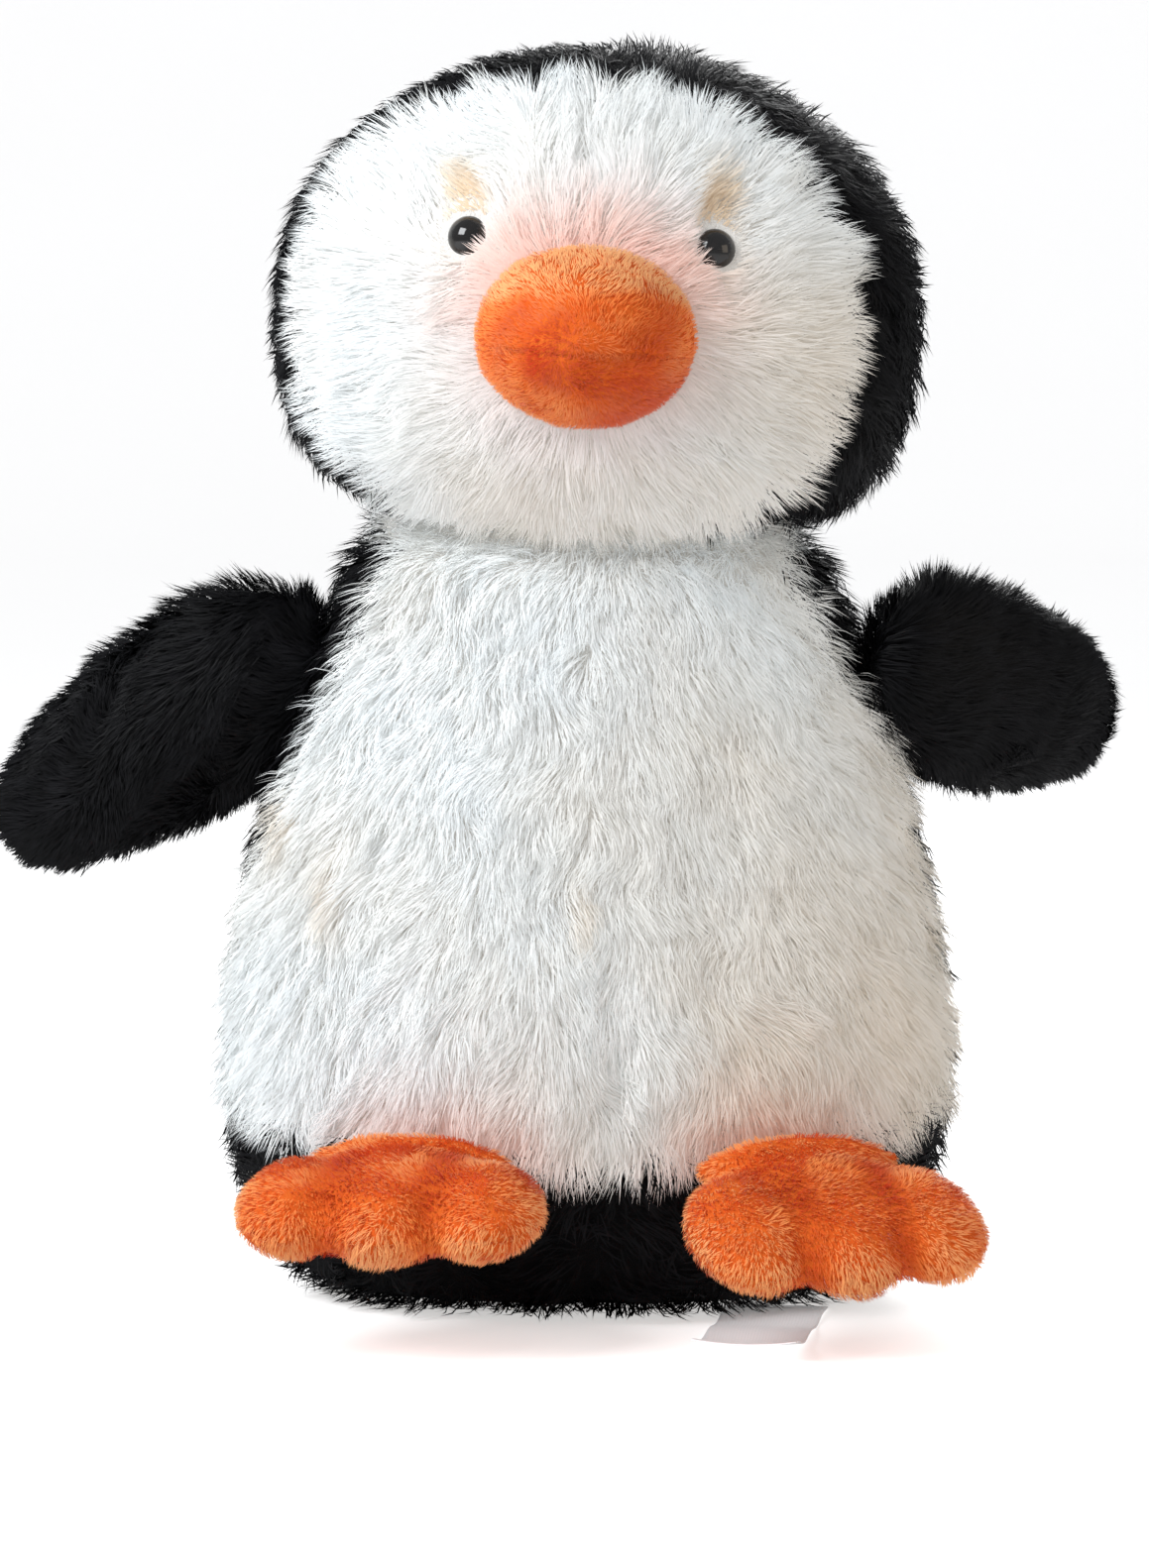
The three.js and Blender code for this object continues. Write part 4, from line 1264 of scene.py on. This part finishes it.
# %% Grow the white fur
LONG_RISE = (0.60, 0.28)
FACE_RISE = (0.62, 0.32)
NECK_RISE = (0.9, 0.6)
WHITE_WIDTH = 0.00030
WHITE_SOFTEN = 0.85
HALVES = {"left": 1, "right": -1}
WAIST_Z = 0.098
for number, (half, sign) in enumerate(HALVES.items()):

    def clear_half(points, sign=sign):
        """Roots on this half of the face, away from the eye domes."""
        return clear_of_eyes(points) & (points[:, 0] * sign > 0)

    grow(f"face_fur_{half}", skins["face_panel"], "head", WHITE, 101 + 10 * number, 62000, 0.0120,
         WHITE_WIDTH, FACE_RISE, from_beak, keep=clear_half, tint=face_tint, trim=shorter_by_eyes,
         soften=WHITE_SOFTEN)
    for level, up in (("upper", 1), ("lower", -1)):

        def quarter(points, sign=sign, up=up):
            """Roots on this quarter of the belly."""
            return (points[:, 0] * sign > 0) & ((points[:, 2] - WAIST_Z) * up > 0)

        grow(f"belly_fur_{level}_{half}", skins["belly_panel"], "trunk", WHITE, 103 + 10 * number + up,
             112000, 0.0125, WHITE_WIDTH, LONG_RISE, down_belly, keep=quarter, tint=belly_tint,
             soften=WHITE_SOFTEN)
grow("throat_fur", skins["neck_front"], "neck", WHITE, 104, 8000, 0.0105, 0.00034, NECK_RISE, down_belly,
     tint=belly_tint, soften=WHITE_SOFTEN)

# %% Grow the black fur
BLACK_RISE = (0.5, 0.22)
HOOD_RISE = (0.42, 0.14)
FLIPPER_RISE = (0.62, 0.3)
BASE_RISE = (0.5, 0.3)
CREST_LIFT = {"left": 0.1, "right": -0.25}
for number, side in enumerate(SIDES):
    crest = CREST_LIFT[side]
    grow(f"hood_fur_{side}", skins[f"hood_{side}"], "head", BLACK, 210 + number, 24000, 0.0085, 0.00036,
         HOOD_RISE, back_and_down, lengths=2,
         trim=lambda points, crest=crest: 1 + crest * soft_step(0.288, 0.302, points[:, 2]))
    grow(f"back_fur_{side}", skins[f"back_panel_{side}"], "trunk", BLACK, 220 + number, 22000, 0.0100,
         0.00040, BLACK_RISE, down_back, lengths=2)

    def to_tip(points, normals, way=np.array(BLADES[side])):
        """Towards the flipper's tip."""
        return np.tile(way, (len(points), 1))

    def longer_at_shoulder(points, shoulder=np.array(SHOULDERS[side])):
        """Fur stands longer at the flipper's root, so that it closes over the seam with the body."""
        return 1 + 0.45 * soft_step(0.042, 0.018, np.linalg.norm(points - shoulder, axis=1))

    grow(f"{side}_flipper_fur", skins[f"{side}_flipper"], f"{side}_flipper", BLACK, 230 + number, 26000,
         0.0072, 0.00038, FLIPPER_RISE, to_tip, lengths=2, trim=longer_at_shoulder, wander=0.8,
         tuft_share=0.05)
grow("base_fur", skins["base_panel"], "trunk", BLACK, 240, 17000, 0.0095, 0.00040, BASE_RISE, under_base,
     lengths=2)
grow("nape_fur", skins["neck_back"], "neck", BLACK, 241, 7000, 0.0105, 0.00042, NECK_RISE, down_back,
     lengths=2)


# %% Grow the orange nap
def beak_nap(points, normals):
    """Up and outwards from the beak's tip."""
    return np.stack([points[:, 0] * 12, np.full(len(points), 0.6), np.full(len(points), 0.25)], 1)


def longer_at_toes(side):
    """The nap stands longer along the toe ends."""
    hinge, across_way, back_way = (np.array(v) for v in FEET[side])
    return lambda points: 1 + 0.9 * soft_step(*TOE_ENDS, -(points - hinge) @ back_way)


NAP_RISE = (0.6, 0.3)
FOOT_FIBRES = {"top": 22000, "sole": 12000}
for number, part in enumerate(("upper", "lower")):
    grow(f"beak_nap_{part}", skins[f"beak_{part}"], "head", ORANGE, 250 + number, 18000, 0.0019, 0.00020,
         NAP_RISE, beak_nap, lengths=2, tint=beak_tint, wander=0.4, tuft_share=0.12, cling=0.35)
for number, side in enumerate(SIDES):
    for part in ("top", "sole"):
        grow(f"{side}_foot_nap_{part}", skins[f"{side}_foot_{part}"], f"{side}_foot", ORANGE, 260 + number,
             FOOT_FIBRES[part], 0.0021, 0.00021, NAP_RISE, down_belly, lengths=2, tint=foot_tint(side),
             trim=longer_at_toes(side), wander=0.4, tuft_share=0.12, cling=0.35)

# %% [markdown]
# ## Care label
# A narrow satin ribbon is sewn into the seam under the toy and lies on the floor in front of it. It is a
# flat sheet with gentle waves, a slightly lifted end and no print.

# %% Care label
LABEL_WIDTH = 0.0245
LABEL_LENGTH = 0.076
label_low, label_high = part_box("care_label")
LABEL_LEAN = math.radians(8)
LABEL_TUCK = 0.0017
LABEL_LIFT = 0.0006

nothing_selected()
bpy.ops.mesh.primitive_grid_add(x_subdivisions=24, y_subdivisions=72, size=1)
label = bpy.context.object
label.name = label.data.name = "care_label_satin"
flat = points_of(label)
across, along = flat[:, 0] * LABEL_WIDTH, (0.5 - flat[:, 1]) * LABEL_LENGTH
share = along / LABEL_LENGTH
wave = 0.0011 * np.sin(share * 7.5 + 0.6) ** 2 * np.clip(along / 0.02, 0, 1)
lifted_end = 0.0045 * np.clip(share - 0.55, 0, 1) ** 1.5 * 2
cupped = 0.0016 * (across / LABEL_WIDTH * 2) ** 2 * np.clip(share - 0.4, 0, 1)
curl = lifted_end + cupped
middle_x = (label_low.x + label_high.x) / 2 + math.sin(LABEL_LEAN) * LABEL_LENGTH / 2
x = middle_x - along * math.sin(LABEL_LEAN) + across * math.cos(LABEL_LEAN)
y = label_high.y - LABEL_TUCK - along * math.cos(LABEL_LEAN) - across * math.sin(LABEL_LEAN)
set_points(label, np.stack([x, y, LABEL_LIFT + wave + curl], 1))
label.modifiers.new("thickness", "SOLIDIFY").thickness = 0.0003
pick(label)
bpy.ops.object.modifier_apply(modifier="thickness")
bpy.ops.object.shade_smooth()

satin, satin_tree, satin_shader = new_material("satin")
satin_place = satin_tree.nodes.new("ShaderNodeTexCoord")
satin_weave = add(satin_tree, "ShaderNodeTexWave", in_Scale=900.0, in_Distortion=1.5, bands_direction="X")
satin_tree.links.new(satin_place.outputs["Object"], satin_weave.inputs["Vector"])
satin_colour = mixed(satin_tree, satin_weave.outputs["Fac"], (0.88, 0.88, 0.90, 1), (0.97, 0.97, 0.98, 1))
satin_tree.links.new(satin_colour, satin_shader.inputs["Base Color"])
bump_from(satin_tree, satin_shader, satin_weave.outputs["Fac"], 0.0001, 0.4)
# The label gives off a little light: painted light that lifts it out of the shade of the foot.
satin_shader.inputs["Emission Color"].default_value = (1.0, 1.0, 1.0, 1)
satin_shader.inputs["Emission Strength"].default_value = 0.22
satin_shader.inputs["Roughness"].default_value = 0.35
satin_shader.inputs["Sheen Weight"].default_value = 0.3
label.data.materials.clear()
label.data.materials.append(satin)
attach(label, "trunk")
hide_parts("care_label")

# %% [markdown]
# ## Clear up
# The helper forms are removed.

# %% Clear up
for helper in (trunk_form, head_form, neck_form, *forms.values()):
    drop(helper)
nothing_selected()
